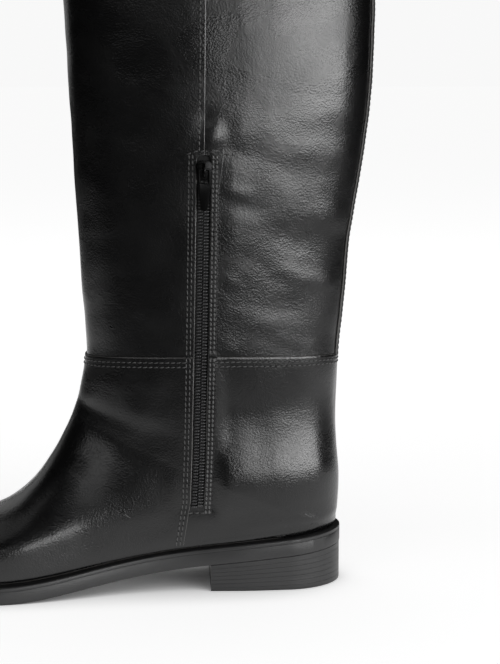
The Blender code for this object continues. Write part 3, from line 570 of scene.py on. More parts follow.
def leatherMaterial(name, grainShare):
    look = leatherLook
    material, nodes, shader = newMaterial(name)
    coords = nodes.coords()
    patches = noise(nodes, coords, look["patchScale"], 3.0)
    cells = {"Vector": coords, "Scale": look["grainScale"], "Smoothness": look["grainSoft"]}
    grain = nodes.add("ShaderNodeTexVoronoi", cells, feature="SMOOTH_F1").outputs["Distance"]
    pores = noise(nodes, coords, look["poreScale"], 3.0, 0.6)
    slack = noise(nodes, coords, look["slackScale"], 4.0, 0.55)
    crinkle = noise(nodes, coords, look["crinkleScale"], 1.5, 0.5)
    bent = None
    for height, kind, share in (
        (crinkle, "crinkle", 1.0),
        (slack, "slack", 1.0),
        (grain, "grain", grainShare),
        (pores, "pores", grainShare),
    ):
        strength, distance = look[kind]
        bent = bump(nodes, height, strength * share, distance, bent)
    nodes.feed(shader.inputs["Normal"], bent)
    body = blendColours(nodes, patches, look["dark"], look["light"])
    # the rim attribute mixes in the pale cut edge, partly a painted highlight
    rim = nodes.add("ShaderNodeAttribute", attribute_name="rim").outputs["Fac"]
    nodes.feed(shader.inputs["Base Color"], blendColours(nodes, rim, body, look["cutEdge"]))
    nodes.feed(shader.inputs["Roughness"], toneRoughness(nodes, patches, look["roughness"]))
    shader.inputs["Coat Weight"].default_value = look["coat"]
    shader.inputs["Coat Roughness"].default_value = look["coatRoughness"]
    shader.inputs["Specular IOR Level"].default_value = 0.5
    return material


satinLook = {
    "cloudScale": 60.0,
    "layers": (0.25, 0.0002),  # strength, distance
}


def satinMaterial(name, dark, light, rough, streaks=None, metal=0.0, grain=(0.08, 0.0001, 1400.0)):
    material, nodes, shader = newMaterial(name)
    coords = nodes.coords()
    strength, distance, scale = grain
    bent = bump(nodes, noise(nodes, coords, scale, 3.0), strength, distance)
    if streaks:  # layers that run round the piece
        stretched = nodes.add("ShaderNodeMapping", {"Vector": coords, "Scale": streaks}).outputs["Vector"]
        tone = noise(nodes, stretched, 1.0, 3.0, 0.6)
        bent = bump(nodes, tone, *satinLook["layers"], bent)
    else:
        tone = noise(nodes, coords, satinLook["cloudScale"], 4.0)
    nodes.feed(shader.inputs["Normal"], bent)
    nodes.feed(shader.inputs["Base Color"], blendColours(nodes, tone, dark, light))
    nodes.feed(shader.inputs["Roughness"], toneRoughness(nodes, tone, rough))
    shader.inputs["Metallic"].default_value = metal
    return material


weaveLook = {
    "bands": 0.314,  # the wave texture's scale times the threads' pitch
    "threads": [("Z", 0.6), ("X", 0.0)],  # way, waver
    "bump": (0.4, 0.0002),
    "sheen": 0.2,
}


def wovenMaterial(name, dark, light, pitch, rough):
    material, nodes, shader = newMaterial(name)
    coords = nodes.coords()
    threads = []
    for way, waver in weaveLook["threads"]:
        inputs = {"Vector": coords, "Scale": weaveLook["bands"] / pitch, "Distortion": waver}
        wave = nodes.add("ShaderNodeTexWave", inputs, wave_type="BANDS", bands_direction=way)
        threads.append(wave.outputs["Fac"])
    weave = combined(nodes, "MULTIPLY", *threads)
    nodes.feed(shader.inputs["Normal"], bump(nodes, weave, *weaveLook["bump"]))
    nodes.feed(shader.inputs["Base Color"], blendColours(nodes, weave, dark, light))
    shader.inputs["Roughness"].default_value = rough
    shader.inputs["Sheen Weight"].default_value = weaveLook["sheen"]
    return material


twist = (0.4, 0.0001, 5000.0)  # grain of the threads
polish = (0.03, 0.00005, 900.0)
finish = {
    "foot": leatherMaterial("footLeather", 1.15),
    "leg": leatherMaterial("legLeather", 1.0),
    "strip": leatherMaterial("stripLeather", 0.8),
    "lining": satinMaterial("liningLeather", (0.016, 0.015, 0.014), (0.028, 0.026, 0.025), (0.55, 0.7)),
    "outsole": satinMaterial("soleEdge", (0.014, 0.014, 0.0145), (0.022, 0.022, 0.0225), (0.36, 0.48)),
    "welt": satinMaterial("weltEdge", (0.013, 0.013, 0.0135), (0.02, 0.02, 0.0205), (0.34, 0.46)),
    "heel": satinMaterial(
        "heelStack", (0.012, 0.012, 0.0125), (0.024, 0.024, 0.0245), (0.34, 0.5), streaks=(14.0, 14.0, 1100.0)
    ),
    "insole": wovenMaterial("insoleSock", (0.012, 0.011, 0.01), (0.03, 0.028, 0.026), 0.0009, 0.8),
    "tape": wovenMaterial("zipTape", (0.006, 0.006, 0.006), (0.02, 0.02, 0.021), 0.0006, 0.85),
    "coil": satinMaterial("zipCoil", (0.03, 0.03, 0.031), (0.06, 0.06, 0.061), (0.2, 0.3)),
    "metal": satinMaterial(
        "blackLacquer", (0.007, 0.007, 0.0072), (0.013, 0.013, 0.0132), (0.2, 0.28), metal=0.9, grain=polish
    ),
    "thread": satinMaterial("thread", (0.04, 0.04, 0.04), (0.09, 0.09, 0.089), (0.35, 0.5), grain=twist),
    # the facing's thread is lighter than the other thread: a painted highlight of the light from the right on
    # these stitches
    "rope": satinMaterial(
        "facingThread", (0.055, 0.055, 0.055), (0.105, 0.105, 0.104), (0.35, 0.5), grain=twist
    ),
    "worn": satinMaterial("wornLacquer", (0.2, 0.2, 0.2), (0.34, 0.34, 0.34), (0.25, 0.35), metal=1.0),
    # needle holes: dark discs painted as the shade inside the holes
    "hole": satinMaterial("needleHole", (0.0008, 0.0008, 0.0008), (0.0016, 0.0016, 0.0016), (0.8, 0.9)),
}
print("materials ready:", len(finish))


def gridFaces(rows, cols, start, flip=False):
    corner = (np.arange(rows - 1)[:, None] * cols + np.arange(cols - 1)[None, :]).reshape(-1) + start
    quads = np.stack([corner, corner + 1, corner + cols + 1, corner + cols], -1)
    return quads[:, ::-1] if flip else quads


def newPiece(name, points, faces, coats, faceSlots=None, rim=None, angle=40.0):
    mesh = bpy.data.meshes.new(name)
    mesh.from_pydata(place(points).tolist(), [], [list(map(int, face)) for face in faces])
    for coat in coats:
        mesh.materials.append(finish[coat])
    if faceSlots is not None:
        mesh.polygons.foreach_set("material_index", np.asarray(faceSlots, np.int32))
    if rim is not None:
        # rim holds each point's share of the pale cut edge, partly a painted highlight
        mesh.attributes.new("rim", "FLOAT", "POINT").data.foreach_set("value", np.asarray(rim, np.float32))
    body = bmesh.new()
    body.from_mesh(mesh)
    bmesh.ops.remove_doubles(body, verts=body.verts, dist=1e-6)
    bmesh.ops.dissolve_degenerate(body, edges=body.edges, dist=1e-7)
    bmesh.ops.recalc_face_normals(body, faces=body.faces)
    body.to_mesh(mesh)
    body.free()
    mesh.shade_smooth()
    mesh.set_sharp_from_angle(angle=math.radians(angle))
    return showPiece(name, mesh)


edgeRound = {"steps": 3, "fullness": 0.8}


def unitLength(vectors):
    return vectors / np.maximum(np.linalg.norm(vectors, axis=-1, keepdims=True), 1e-9)


def wallPiece(name, outer, inner, rim, coats, cut=1.0):
    # rim is a path of (row, column, inside row, inside column), cut is how bare the leather is along it; the
    # bare share also paints a highlight, strongest at the middle of the rounded edge
    rows, cols = outer.shape[:2]
    count = rows * cols
    points = [outer.reshape(-1, 3), inner.reshape(-1, 3)]
    faces = [gridFaces(rows, cols, 0), gridFaces(rows, cols, count, flip=True)]
    i, j, insideRow, insideColumn = np.array(rim).T
    middle = 0.5 * (outer[i, j] + inner[i, j])
    arm = outer[i, j] - middle
    radius = np.linalg.norm(arm, axis=-1, keepdims=True)
    away = outer[i, j] - outer[insideRow, insideColumn]
    away = unitLength(away - unitLength(arm) * np.sum(away * unitLength(arm), -1, keepdims=True))
    bare = np.broadcast_to(cut, outer.shape[:2])[i, j]
    bareAndHighlightRings = [np.zeros(2 * count)]
    bulge = edgeRound["fullness"] * radius * away
    rings = [i * cols + j]
    for step in range(edgeRound["steps"]):
        angle = math.pi * (step + 1) / (edgeRound["steps"] + 1)
        points.append(middle + math.cos(angle) * arm + math.sin(angle) * bulge)
        rings.append(2 * count + step * len(i) + np.arange(len(i)))
        bareAndHighlightRings.append(math.sin(angle) * bare)
    rings.append(count + i * cols + j)
    for a, b in zip(rings, rings[1:]):
        faces.append(np.stack([a[:-1], a[1:], b[1:], b[:-1]], -1))
    slots = [np.full(len(group), int(index == 1)) for index, group in enumerate(faces)]
    points, faces, slots, bareAndHighlightRings = (np.concatenate(parts) for parts in (points, faces, slots, bareAndHighlightRings))
    return newPiece(name, points, faces, coats, slots, bareAndHighlightRings)


def sideRim(rows, column, inside):  # up or down one column
    return [(i, column, i, inside) for i in rows]


def endRim(row, columns, inside):
    return [(row, j, inside, j) for j in columns]


def rectangleRim(rows, cols):
    loop = sideRim(range(rows - 1, 0, -1), 0, 1) + endRim(0, range(0, cols), 1)
    loop += sideRim(range(1, rows), cols - 1, cols - 2) + endRim(rows - 1, range(cols - 2, -1, -1), rows - 2)
    return loop


def sheet(name, row, turn, high, low, coats, cut=1.0):  # a four-sided piece between two lifts
    face = leather(row, turn, high)
    back = leather(row, turn, low)
    return wallPiece(name, face, back, rectangleRim(*turn.shape), coats, cut)


def slotHalf(up):  # half width of the zip's slot, with a round top
    arch = slot["top"] - slot["half"]
    rise = np.clip((up - arch) / slot["half"], 0.0, 1.0)
    return slot["half"] * (1.0 - rise**3) ** (1.0 / 3.0) * (up >= slot["low"])


def frontEdge(up, side):
    if side < 0:
        return seamEdge(up)
    ease = smoothStep(slot["low"], slot["low"] + slot["lowEase"], up)
    edge = seamEdge(up) + ease * (zipLine(up) + slotHalf(up) - seamEdge(up))
    return np.where(up > slot["top"], zipLine(up), edge)


def rearEdge(up, side):
    under = seamEdge(up) + boot["underlap"]
    if side < 0:
        return under
    inSlot = (up > slot["low"]) & (up < slot["top"])
    return np.where(inSlot, zipLine(up) - slotHalf(up), under)


def edgeTurn(rows, edge, side):
    def inFront(turn):
        point = skin(rows, side * turn)
        return point[..., 0] > edge(point[..., 2], side)

    return bisect(0.0, math.pi, inFront)


panels = {
    "frontColumns": 46,
    "rearColumns": 46,
    "footRows": [  # from, to, steps
        (0, 1, 12), (1, 4, 18), (4, 12, 96), (12, 14.5, 34), (14.5, 15.2, 26), (15.2, 17, 26), (17, 18, 16),
        (18, 24, 62), (24, 25, 9),
    ],
    "legRows": [(24.1, 25.0, 5), (25.0, 25.3, 6), (25.3, 30.5, 84), (30.5, 30.9, 22), (30.9, 37, 96)],
    "edgeCrowd": [0.972, 0.982, 0.99, 0.995, 0.998, 1.0],
    "ankleRise": (0.16, 0.24),  # in rows: the foot's top edge all round, and more at its sides
    "riseFrom": 20.0,
    "riseRound": 1.5,
    "riseBack": 0.3,  # about what a row has risen at the sides
    "skived": 0.62,  # front panels are this thin where they lap the rear ones
    "slotWall": 1.2,
    "slotEase": 6.0,
    "skiveRun": (5.2, 8.0),
    "lapEase": 3.0,
    "stepStart": 6.0,
    "bareFrom": (2.0, 5.0),  # pale cut edges and their painted highlight show from here on above the sole
    # strength of the pale cut edge, partly a painted highlight, on the front and rear leg panels
    "bare": {"front": 0.4, "rear": 0.3},
    "seamRows": (30, 1.1),  # extra rows where an edge climbs away from the sole, and over how many rows
}


def rowPlaces(spans):
    return np.unique(np.concatenate([np.linspace(a, b, n + 1) for a, b, n in spans]).round(5))


def edgeStart(edge):  # the row where a panel's edge leaves the sole
    def ahead(row):
        return lastAt["lowAlong"](row) > edge(sectionEnds(row)[3], -1.0)

    return float(bisect(0.0, float(last["heelRow"]), ahead))


def footRows(edge):
    first = edgeStart(edge)
    count, reach = panels["seamRows"]
    climbing = first + reach * np.linspace(0.0, 1.0, count + 1) ** 2
    rows = rowPlaces(panels["footRows"])
    rows = rows[(rows < first - 0.02) | (rows > first + reach + 0.02)]
    return np.unique(np.concatenate([rows, climbing]).round(6)), first


def columnShares(count):
    crowd = panels["edgeCrowd"]
    return np.concatenate([np.linspace(0.0, crowd[0], count)[:-1], crowd])


def risen(row, turn):  # rows of the foot, drawn up to its curved top edge
    low, side = panels["ankleRise"]
    rise = low + side * np.abs(np.sin(turn)) ** panels["riseRound"]
    return row + rise * smoothStep(panels["riseFrom"], last["ankleRow"], row)


def unrisen(row):  # the way back, at the sides
    share = smoothStep(panels["riseFrom"], last["ankleRow"], row - panels["riseBack"])
    return row - sum(panels["ankleRise"]) * share


def lapOf(row):
    return boot["lapLift"] * smoothStep(last["lapRow"] - panels["lapEase"], last["lapRow"], row)


def frontWall(base, inwardSide):  # how thick a front panel is
    along, up = base[..., 0], base[..., 2]
    edge = np.where(inwardSide > 0, frontEdge(up, 1.0), frontEdge(up, -1.0))
    atEdge = 1.0 - smoothStep(*panels["skiveRun"], along - edge)
    low, top, ease = slot["low"], slot["top"], panels["slotEase"]
    inSlot = smoothStep(low, low + ease, up) * (1.0 - smoothStep(top - ease, top, up))
    thin = panels["skived"] + (panels["slotWall"] - panels["skived"]) * inSlot * (inwardSide > 0)
    return boot["wall"] + (thin - boot["wall"]) * atEdge


def frontTurns(rows):
    shares = columnShares(panels["frontColumns"])
    inner, outer = (edgeTurn(rows, frontEdge, side)[:, None] * shares for side in (1.0, -1.0))
    return np.concatenate([-outer[:, :0:-1], inner], 1)


def rearTurns(rows):
    shares = 1.0 - columnShares(panels["rearColumns"])[::-1]
    inner, outer = (edgeTurn(rows, rearEdge, side)[:, None] for side in (1.0, -1.0))
    inner, outer = (edge + (math.pi - edge) * shares for edge in (inner, outer))
    return inner, -outer[:, ::-1]


def rowGrid(rows, turns):
    return np.broadcast_to(rows[:, None], turns.shape)


def bareAndHighlightEdge(base):  # neither the pale cut edge nor its painted highlight shows where the leather goes in under the foot
    return smoothStep(*panels["bareFrom"], base[..., 2] - soleTop(base[..., 0]))


def makeVamp():
    rows = footRows(frontEdge)[0]
    turns = frontTurns(rows)
    grid = rowGrid(rows, turns)
    high = risen(grid, turns)
    base = skin(high, turns)
    lap = lapOf(grid)
    inLap = grid >= last["lapRow"] - 1e-6
    wall = np.where(inLap, np.minimum(boot["lapWall"], frontWall(base, turns)), frontWall(base, turns))
    outer = leather(high, turns, lap)
    inner = leather(high, turns, lap - wall)
    top, end = len(rows) - 1, turns.shape[1] - 1
    loop = sideRim(range(top, -1, -1), 0, 1) + sideRim(range(0, top), end, end - 1)
    loop += endRim(top, range(end, -1, -1), top - 1)
    return wallPiece("vamp", outer, inner, loop, ("foot", "lining"), bareAndHighlightEdge(base))


def makeCounter():
    rows, first = footRows(rearEdge)
    rows = rows[rows > first - 1e-4]
    inner, outer = rearTurns(rows)
    turns = np.concatenate([inner, outer], 1)
    grid = rowGrid(rows, turns)
    high = risen(grid, turns)
    base = skin(high, turns)
    step = -boot["panelStep"] * smoothStep(0.0, panels["stepStart"], base[..., 2] - soleTop(base[..., 0]))
    lap = lapOf(grid)
    wall = np.where(grid >= last["lapRow"] - 1e-6, boot["lapWall"], boot["wall"] - boot["panelStep"])
    face = leather(high, turns, step + lap)
    back = leather(high, turns, step + lap - wall)
    top, end, mid = len(rows) - 1, turns.shape[1] - 1, inner.shape[1] - 1
    heel = int(np.argmin(np.abs(rows - last["heelRow"])))
    loop = sideRim(range(top, -1, -1), 0, 1) + sideRim(range(1, heel + 1), mid, mid - 1)
    loop += sideRim(range(heel, -1, -1), mid + 1, mid + 2) + sideRim(range(1, top), end, end - 1)
    loop += endRim(top, range(end, -1, -1), top - 1)
    return wallPiece("counter", face, back, loop, ("foot", "lining"), bareAndHighlightEdge(base))


def makeLegFront():
    rows = rowPlaces(panels["legRows"])
    turns = frontTurns(rows)
    grid = rowGrid(rows, turns)
    wall = frontWall(skin(grid, turns), turns)
    return sheet("legFront", grid, turns, 0.0, -wall, ("leg", "lining"), panels["bare"]["front"])


def makeLegRear():
    rows = rowPlaces(panels["legRows"])
    inner, outer = rearTurns(rows)
    turns = np.concatenate([inner, outer[:, 1:]], 1)
    lifts = -boot["panelStep"], -boot["wall"]
    return sheet("legRear", rowGrid(rows, turns), turns, *lifts, ("leg", "lining"), panels["bare"]["rear"])


backStrip = {
    "half": 9.0,
    "low": 0.05 - boot["panelStep"],
    "thick": 1.0,
    "lowRow": 25.12,
    "rows": 180,
    "columns": 25,
}


def makeBackStrip():
    rows = np.linspace(backStrip["lowRow"], topRow, backStrip["rows"])
    across = np.linspace(-1.0, 1.0, backStrip["columns"])[None, :] * backStrip["half"]
    turns = math.pi - across / lastAt["half"](rows)[:, None]
    turns = np.where(turns > math.pi, turns - 2.0 * math.pi, turns)
    low = backStrip["low"]
    return sheet("backStrip", rowGrid(rows, turns), turns, low + backStrip["thick"], low, ("strip", "lining"))


def settle(piece, slotName, *nodes, body="boot"):
    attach(piece, body)
    if nodes:
        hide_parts(*nodes)
    return piece


settle(makeVamp(), "foot_leather", "upper")
settle(makeCounter(), "foot_leather", "upper")
settle(makeLegFront(), "black_leather", "shaft")
settle(makeLegRear(), "black_leather", "shaft")
settle(makeBackStrip(), "strip_leather", "back_strip")
print("leather panels made")


soleEdges = {
    "stations": 180,
    "crowd": 0.8,
    "bevel": 0.4,
    "seam": 0.07,  # groove between outsole and welt
    "seamStart": 0.22,
    "seamEnd": 0.08,
    "welt": 2.3,
    "weltWidth": 11.0,
    "weltBevel": 0.6,
    "weltSeam": 0.1,
    "insoleInset": 2.7,
    "insoleThick": 3.0,
    "insoleRound": 0.9,
}


def stationShares(count):
    share = np.linspace(0.0, 1.0, count)
    return share + soleEdges["crowd"] * (0.5 * (1.0 - np.cos(math.pi * share)) - share)


def ring(reach, back, tip, trim, height, slant=0.0):
    sides = []
    for side in (1.0, -1.0):
        along = back + reach * (1.0 + side * slant)
        half, middle = outline(along, back, tip, trim(along))
        sides.append(np.stack([along, middle + side * half, height(along)], -1))
    return np.concatenate([sides[0], sides[1][::-1]])


def soleRing(inset, level, rise=0.0):
    back, tip = sole["back"] + inset, sole["tip"] - inset
    reach = (tip - back) * stationShares(soleEdges["stations"])
    return ring(reach, back, tip, lambda along: inset, lambda along: level(along) + rise)


def ringSolid(name, rings, coat, band=False, angle=32.0):
    count = len(rings[0])
    spot = np.arange(count)
    after = (spot + 1) % count
    starts = np.arange(len(rings)) * count
    pairs = list(zip(starts, starts[1:]))
    if band:
        pairs.append((starts[-1], starts[0]))
    faces = [np.stack([a + spot, a + after, b + after, b + spot], -1) for a, b in pairs]
    if not band:
        half = np.arange(count // 2 - 1)
        for first in (starts[0], starts[-1]):
            far = first + count - 1 - half
            faces.append(np.stack([first + half, first + half + 1, far - 1, far], -1))
    return newPiece(name, np.concatenate(rings), np.concatenate(faces), [coat], angle=angle)


def roundEdge(radius, steps):  # insets and rises of a quarter round
    angles = np.linspace(0.0, math.pi / 2, steps + 1)
    return [(radius * (1.0 - math.sin(a)), radius * (1.0 - math.cos(a))) for a in angles]


def underWelt(along):
    return soleTop(along) - soleEdges["welt"]


def makeOutsole():
    rings = [soleRing(inset, soleBottom, rise) for inset, rise in roundEdge(soleEdges["bevel"], 4)]
    rings.append(soleRing(0.0, underWelt, -soleEdges["seamStart"]))
    rings.append(soleRing(soleEdges["seam"], underWelt, -soleEdges["seamEnd"]))
    return ringSolid("outsoleEdge", rings, "outsole")


def makeWelt():
    bevel, width = soleEdges["weltBevel"], soleEdges["weltWidth"]
    rings = [
        soleRing(soleEdges["seam"], underWelt),
        soleRing(0.0, underWelt, soleEdges["weltSeam"]),
        soleRing(0.0, soleTop, -bevel),
        soleRing(0.1 * bevel, soleTop, -0.82 * bevel),
        soleRing(0.9 * bevel, soleTop, -0.1 * bevel),
        soleRing(1.15 * bevel, soleTop),
        soleRing(width, soleTop),
        soleRing(width, underWelt),
    ]
    return ringSolid("weltEdge", rings, "welt", band=True)


def makeInsole():
    extra = soleEdges["insoleInset"]

    def insoleRing(inset, rise):
        back = sole["featherBack"] + extra + inset
        tip = sole["tip"] - sole["featherTip"] - extra - inset
        reach = (tip - back) * stationShares(soleEdges["stations"])
        trim = lambda along: featherTrim(along) + extra + inset
        return ring(reach, back, tip, trim, lambda along: soleTop(along) + boot["gap"] + rise)

    rings = [insoleRing(0.0, 0.0)]
    for inset, drop in roundEdge(soleEdges["insoleRound"], 4)[::-1]:
        rings.append(insoleRing(inset, soleEdges["insoleThick"] - drop))
    return ringSolid("insoleSock", rings, "insole")


heelStack = {
    "length": 70.0,
    "slant": 0.02,
    "inset": 0.25,
    "layers": 7,
    "groove": 0.06,
    "grooveSlope": 1.4,
    "stations": 90,
    "round": 0.6,
    "topRound": (0.1, 0.15),  # inset, rise
}


def makeHeel():
    spots = 1.0 - np.cos(np.linspace(0.0, math.pi / 2, heelStack["stations"]))

    def layerRing(more, share, rise):
        inset = heelStack["inset"] + more
        back = sole["back"] + inset
        reach = spots * (heelStack["length"] - back)
        level = lambda along: share * (soleBottom(along) - boot["gap"]) + rise
        return ring(reach, back, sole["tip"], lambda along: inset, level, heelStack["slant"])

    groove = heelStack["groove"]
    slope = heelStack["grooveSlope"] * groove
    rings = [layerRing(inset, 0.0, rise) for inset, rise in roundEdge(heelStack["round"], 3)]
    for layer in range(1, heelStack["layers"]):
        share = layer / heelStack["layers"]
        rings += [layerRing(0.0, share, -slope), layerRing(groove, share, 0.0), layerRing(0.0, share, slope)]
    inset, rise = heelStack["topRound"]
    rings += [layerRing(0.0, 1.0, 0.0), layerRing(inset, 1.0, rise)]
    return ringSolid("heelBlock", rings, "heel", angle=30.0)


settle(makeOutsole(), "outsole_black", "outsole")
settle(makeWelt(), "welt_black", "welt")
settle(makeInsole(), "insole_black", "insole")
settle(makeHeel(), "heel_black", "heel")
print("sole made")


zipParts = {
    "tapeHalf": 10.5,
    "tapeDepth": -2.35,
    "tapeThick": 0.5,
    "tapeGrid": (150, 15),  # rows, columns
    "overrun": 5.0,
    "pitch": 1.65,
    "coilLow": 47.0,
    "coilTop": 222.0,
    "coilDepth": -0.95,
    "coilStep": 0.55,
    "tooth": (0.5, 1.5, 0.75),  # half thickness, half length, half rise
    "toothOffset": 1.75,
    "toothSlant": 4.0,
    "head": (0.6, 0.62, 0.9),  # round inner end of a tooth
    "headOffset": 0.72,
    "facing": (3.7, 7.7),  # strip on the rear side, from and to
    "facingGrid": (160, 15),
    "facingThick": 0.2,
    "facingLow": 43.6,
    "facingTop": 235.2,
    "facingFlare": 2.2,
    "flareFrom": (24.0, 4.0),  # below the facing's top
    "facingClear": 0.02,
    "facingEase": 0.12,  # rows over which it steps down from the foot to the leg
    # the facing's pale cut edge along the slot, partly a painted highlight
    "facingBare": 0.6,
}


def makeTape():
    rows, cols = zipParts["tapeGrid"]
    up = np.linspace(slot["low"] - zipParts["overrun"], slot["top"] + zipParts["overrun"], rows)[:, None]
    along = zipLine(up) + np.linspace(1.0, -1.0, cols)[None, :] * zipParts["tapeHalf"]
    depth = zipParts["tapeDepth"]
    return sheet("zipTapeWeave", *locate(along, up), depth, depth - zipParts["tapeThick"], ("tape", "tape"))


def makeFacing():
    rows, cols = zipParts["facingGrid"]
    up = np.linspace(zipParts["facingLow"], zipParts["facingTop"], rows)[:, None]
    near, far = zipParts["facing"]
    flareRange = [zipParts["facingTop"] - below for below in zipParts["flareFrom"]]
    far = far + zipParts["facingFlare"] * smoothStep(*flareRange, up)
    across = near + (far - near) * np.linspace(0.0, 1.0, cols)[None, :]
    row, turn = locate(zipLine(up) - across, up)
    flat = unrisen(row)
    ankle = last["ankleRow"]
    low = zipParts["facingClear"] - boot["panelStep"]
    low = low + lapOf(flat) * (1.0 - smoothStep(ankle, ankle + zipParts["facingEase"], flat))
    cut = np.zeros(turn.shape)
    cut[:, 0] = zipParts["facingBare"]  # pale cut edge with its painted highlight only along the slot
    return sheet("zipFacing", row, turn, low + zipParts["facingThick"], low, ("strip", "strip"), cut)


settle(makeTape(), "tape_black", "zip_tape")
settle(makeFacing(), "strip_leather")


# Geometry Nodes: small shapes set along a line that carries its own outward direction
def newTree(name, inputs):
    tree = bpy.data.node_groups.new(name, "GeometryNodeTree")
    tree.is_modifier = True
    tree.interface.new_socket("Geometry", in_out="INPUT", socket_type="NodeSocketGeometry")
    for label, kind in inputs:
        tree.interface.new_socket(label, in_out="INPUT", socket_type="NodeSocket" + kind)
    tree.interface.new_socket("Geometry", in_out="OUTPUT", socket_type="NodeSocketGeometry")
    nodes = Nodes(tree)
    return tree, nodes, nodes.add("NodeGroupInput"), nodes.add("NodeGroupOutput")


def alongLineTree(name):
    tree, nodes, given, result = newTree(name, [
        ("Pitch", "Float"),
        ("Size", "Vector"),
        ("Shift", "Vector"),
        ("Slant", "Float"),
        ("Material", "Material"),
    ])
    given = given.outputs
    line = nodes.add("GeometryNodeMeshToCurve", {"Mesh": given["Geometry"]}).outputs["Curve"]
    spacing = {"Curve": line, "Length": given["Pitch"]}
    spaced = nodes.add("GeometryNodeResampleCurve", spacing, mode="LENGTH").outputs["Curve"]
    bead = nodes.add("GeometryNodeMeshUVSphere", {"Segments": 8, "Rings": 6, "Radius": 1.0}).outputs["Mesh"]
    slant = nodes.add("ShaderNodeCombineXYZ", {"Z": given["Slant"]}).outputs["Vector"]
    for change in (
        {"Scale": given["Size"]},
        {"Translation": given["Shift"], "Rotation": slant},
    ):
        bead = nodes.add("GeometryNodeTransform", {"Geometry": bead, **change}).outputs["Geometry"]
    bead = nodes.add("GeometryNodeSetShadeSmooth", {"Geometry": bead}).outputs["Geometry"]
    tangent = nodes.add("GeometryNodeInputTangent").outputs["Tangent"]
    outward = nodes.add("GeometryNodeInputNamedAttribute", {"Name": "outward"}, data_type="FLOAT_VECTOR")
    turnKind = "FunctionNodeAlignRotationToVector"
    turned = nodes.add(turnKind, {"Vector": tangent}, axis="X").outputs["Rotation"]
    facing = {"Rotation": turned, "Vector": outward.outputs["Attribute"]}
    turned = nodes.add(turnKind, facing, axis="Z", pivot_axis="X").outputs["Rotation"]
    laid = nodes.add("GeometryNodeInstanceOnPoints", {"Points": spaced, "Instance": bead, "Rotation": turned})
    real = nodes.add("GeometryNodeRealizeInstances", {"Geometry": laid.outputs["Instances"]})
    painted = nodes.add(
        "GeometryNodeSetMaterial", {"Geometry": real.outputs["Geometry"], "Material": given["Material"]}
    )
    nodes.feed(result.inputs["Geometry"], painted.outputs["Geometry"])
    return tree


def beadValues(pitch, size, shift, slant, coat):
    return {
        "Pitch": pitch * mm,
        "Size": Vector(size) * mm,
        "Shift": Vector(shift) * mm,
        "Slant": math.radians(slant),
        "Material": finish[coat],
    }


def runTree(name, tree, lines, values):
    # lines: list of (points, outward directions) on the boot, in millimetres
    points, outward, edges = [], [], []
    for line, lean in lines:
        start = sum(len(p) for p in points)
        points.append(place(line))
        outward.append(lean * np.array((-1.0, -1.0, 1.0)))
        edges += [(start + i, start + i + 1) for i in range(len(line) - 1)]
    mesh = bpy.data.meshes.new(name + "Line")
    mesh.from_pydata(np.concatenate(points).tolist(), edges, [])
    data = mesh.attributes.new("outward", "FLOAT_VECTOR", "POINT").data
    data.foreach_set("vector", np.concatenate(outward).astype(np.float32).reshape(-1))
    path = showPiece(name + "Line", mesh)
    modifier = path.modifiers.new("alongLine", "NODES")
    modifier.node_group = tree
    for item in tree.interface.items_tree:
        if item.in_out == "INPUT" and item.name in values:
            modifier[item.identifier] = values[item.name]
    graph = bpy.context.evaluated_depsgraph_get()
    made = bpy.data.meshes.new_from_object(path.evaluated_get(graph))
    path.modifiers.remove(modifier)
    bpy.data.objects.remove(path)
    made.name = name
    if "outward" in made.attributes:
        made.attributes.remove(made.attributes["outward"])
    return showPiece(name, made)


def sideLine(corners, lift, side=1.0, spacing=0.7):
    # a line on the leather through corners given as (along, up); lift is a number or a function of the row
    corners = np.array(corners, float)
    lengths = np.concatenate([[0.0], np.cumsum(np.hypot(*np.diff(corners, axis=0).T))])
    at = np.linspace(0.0, lengths[-1], max(2, int(lengths[-1] / spacing)))
    row, turn = locate(np.interp(at, lengths, corners[:, 0]), np.interp(at, lengths, corners[:, 1]))
    turn = turn * side
    height = lift(row) if callable(lift) else lift
    return leather(row, turn, height), skinNormal(row, turn)


coilTree = alongLineTree("zipCoilTeeth")
stitchTree = alongLineTree("threadStitches")


def makeCoil():
    pieces = []
    pitch, step = zipParts["pitch"], zipParts["coilStep"]
    for end, side, delay in (("Fore", 1.0, 0.0), ("Rear", -1.0, 0.5)):
        up = np.arange(zipParts["coilLow"] + delay * pitch, zipParts["coilTop"], step)
        line = sideLine(np.stack([zipLine(up), up], -1), zipParts["coilDepth"], spacing=step)
        for kind, size, offset in (("Teeth", "tooth", "toothOffset"), ("Heads", "head", "headOffset")):
            shift = (0.0, side * zipParts[offset], 0.0)
            values = beadValues(pitch, zipParts[size], shift, side * zipParts["toothSlant"], "coil")
            pieces.append(runTree("zip" + kind + end, coilTree, [line], values))
    return pieces


for coil in makeCoil():
    settle(coil, "chain_black", "zip_chain")
print("zip made")


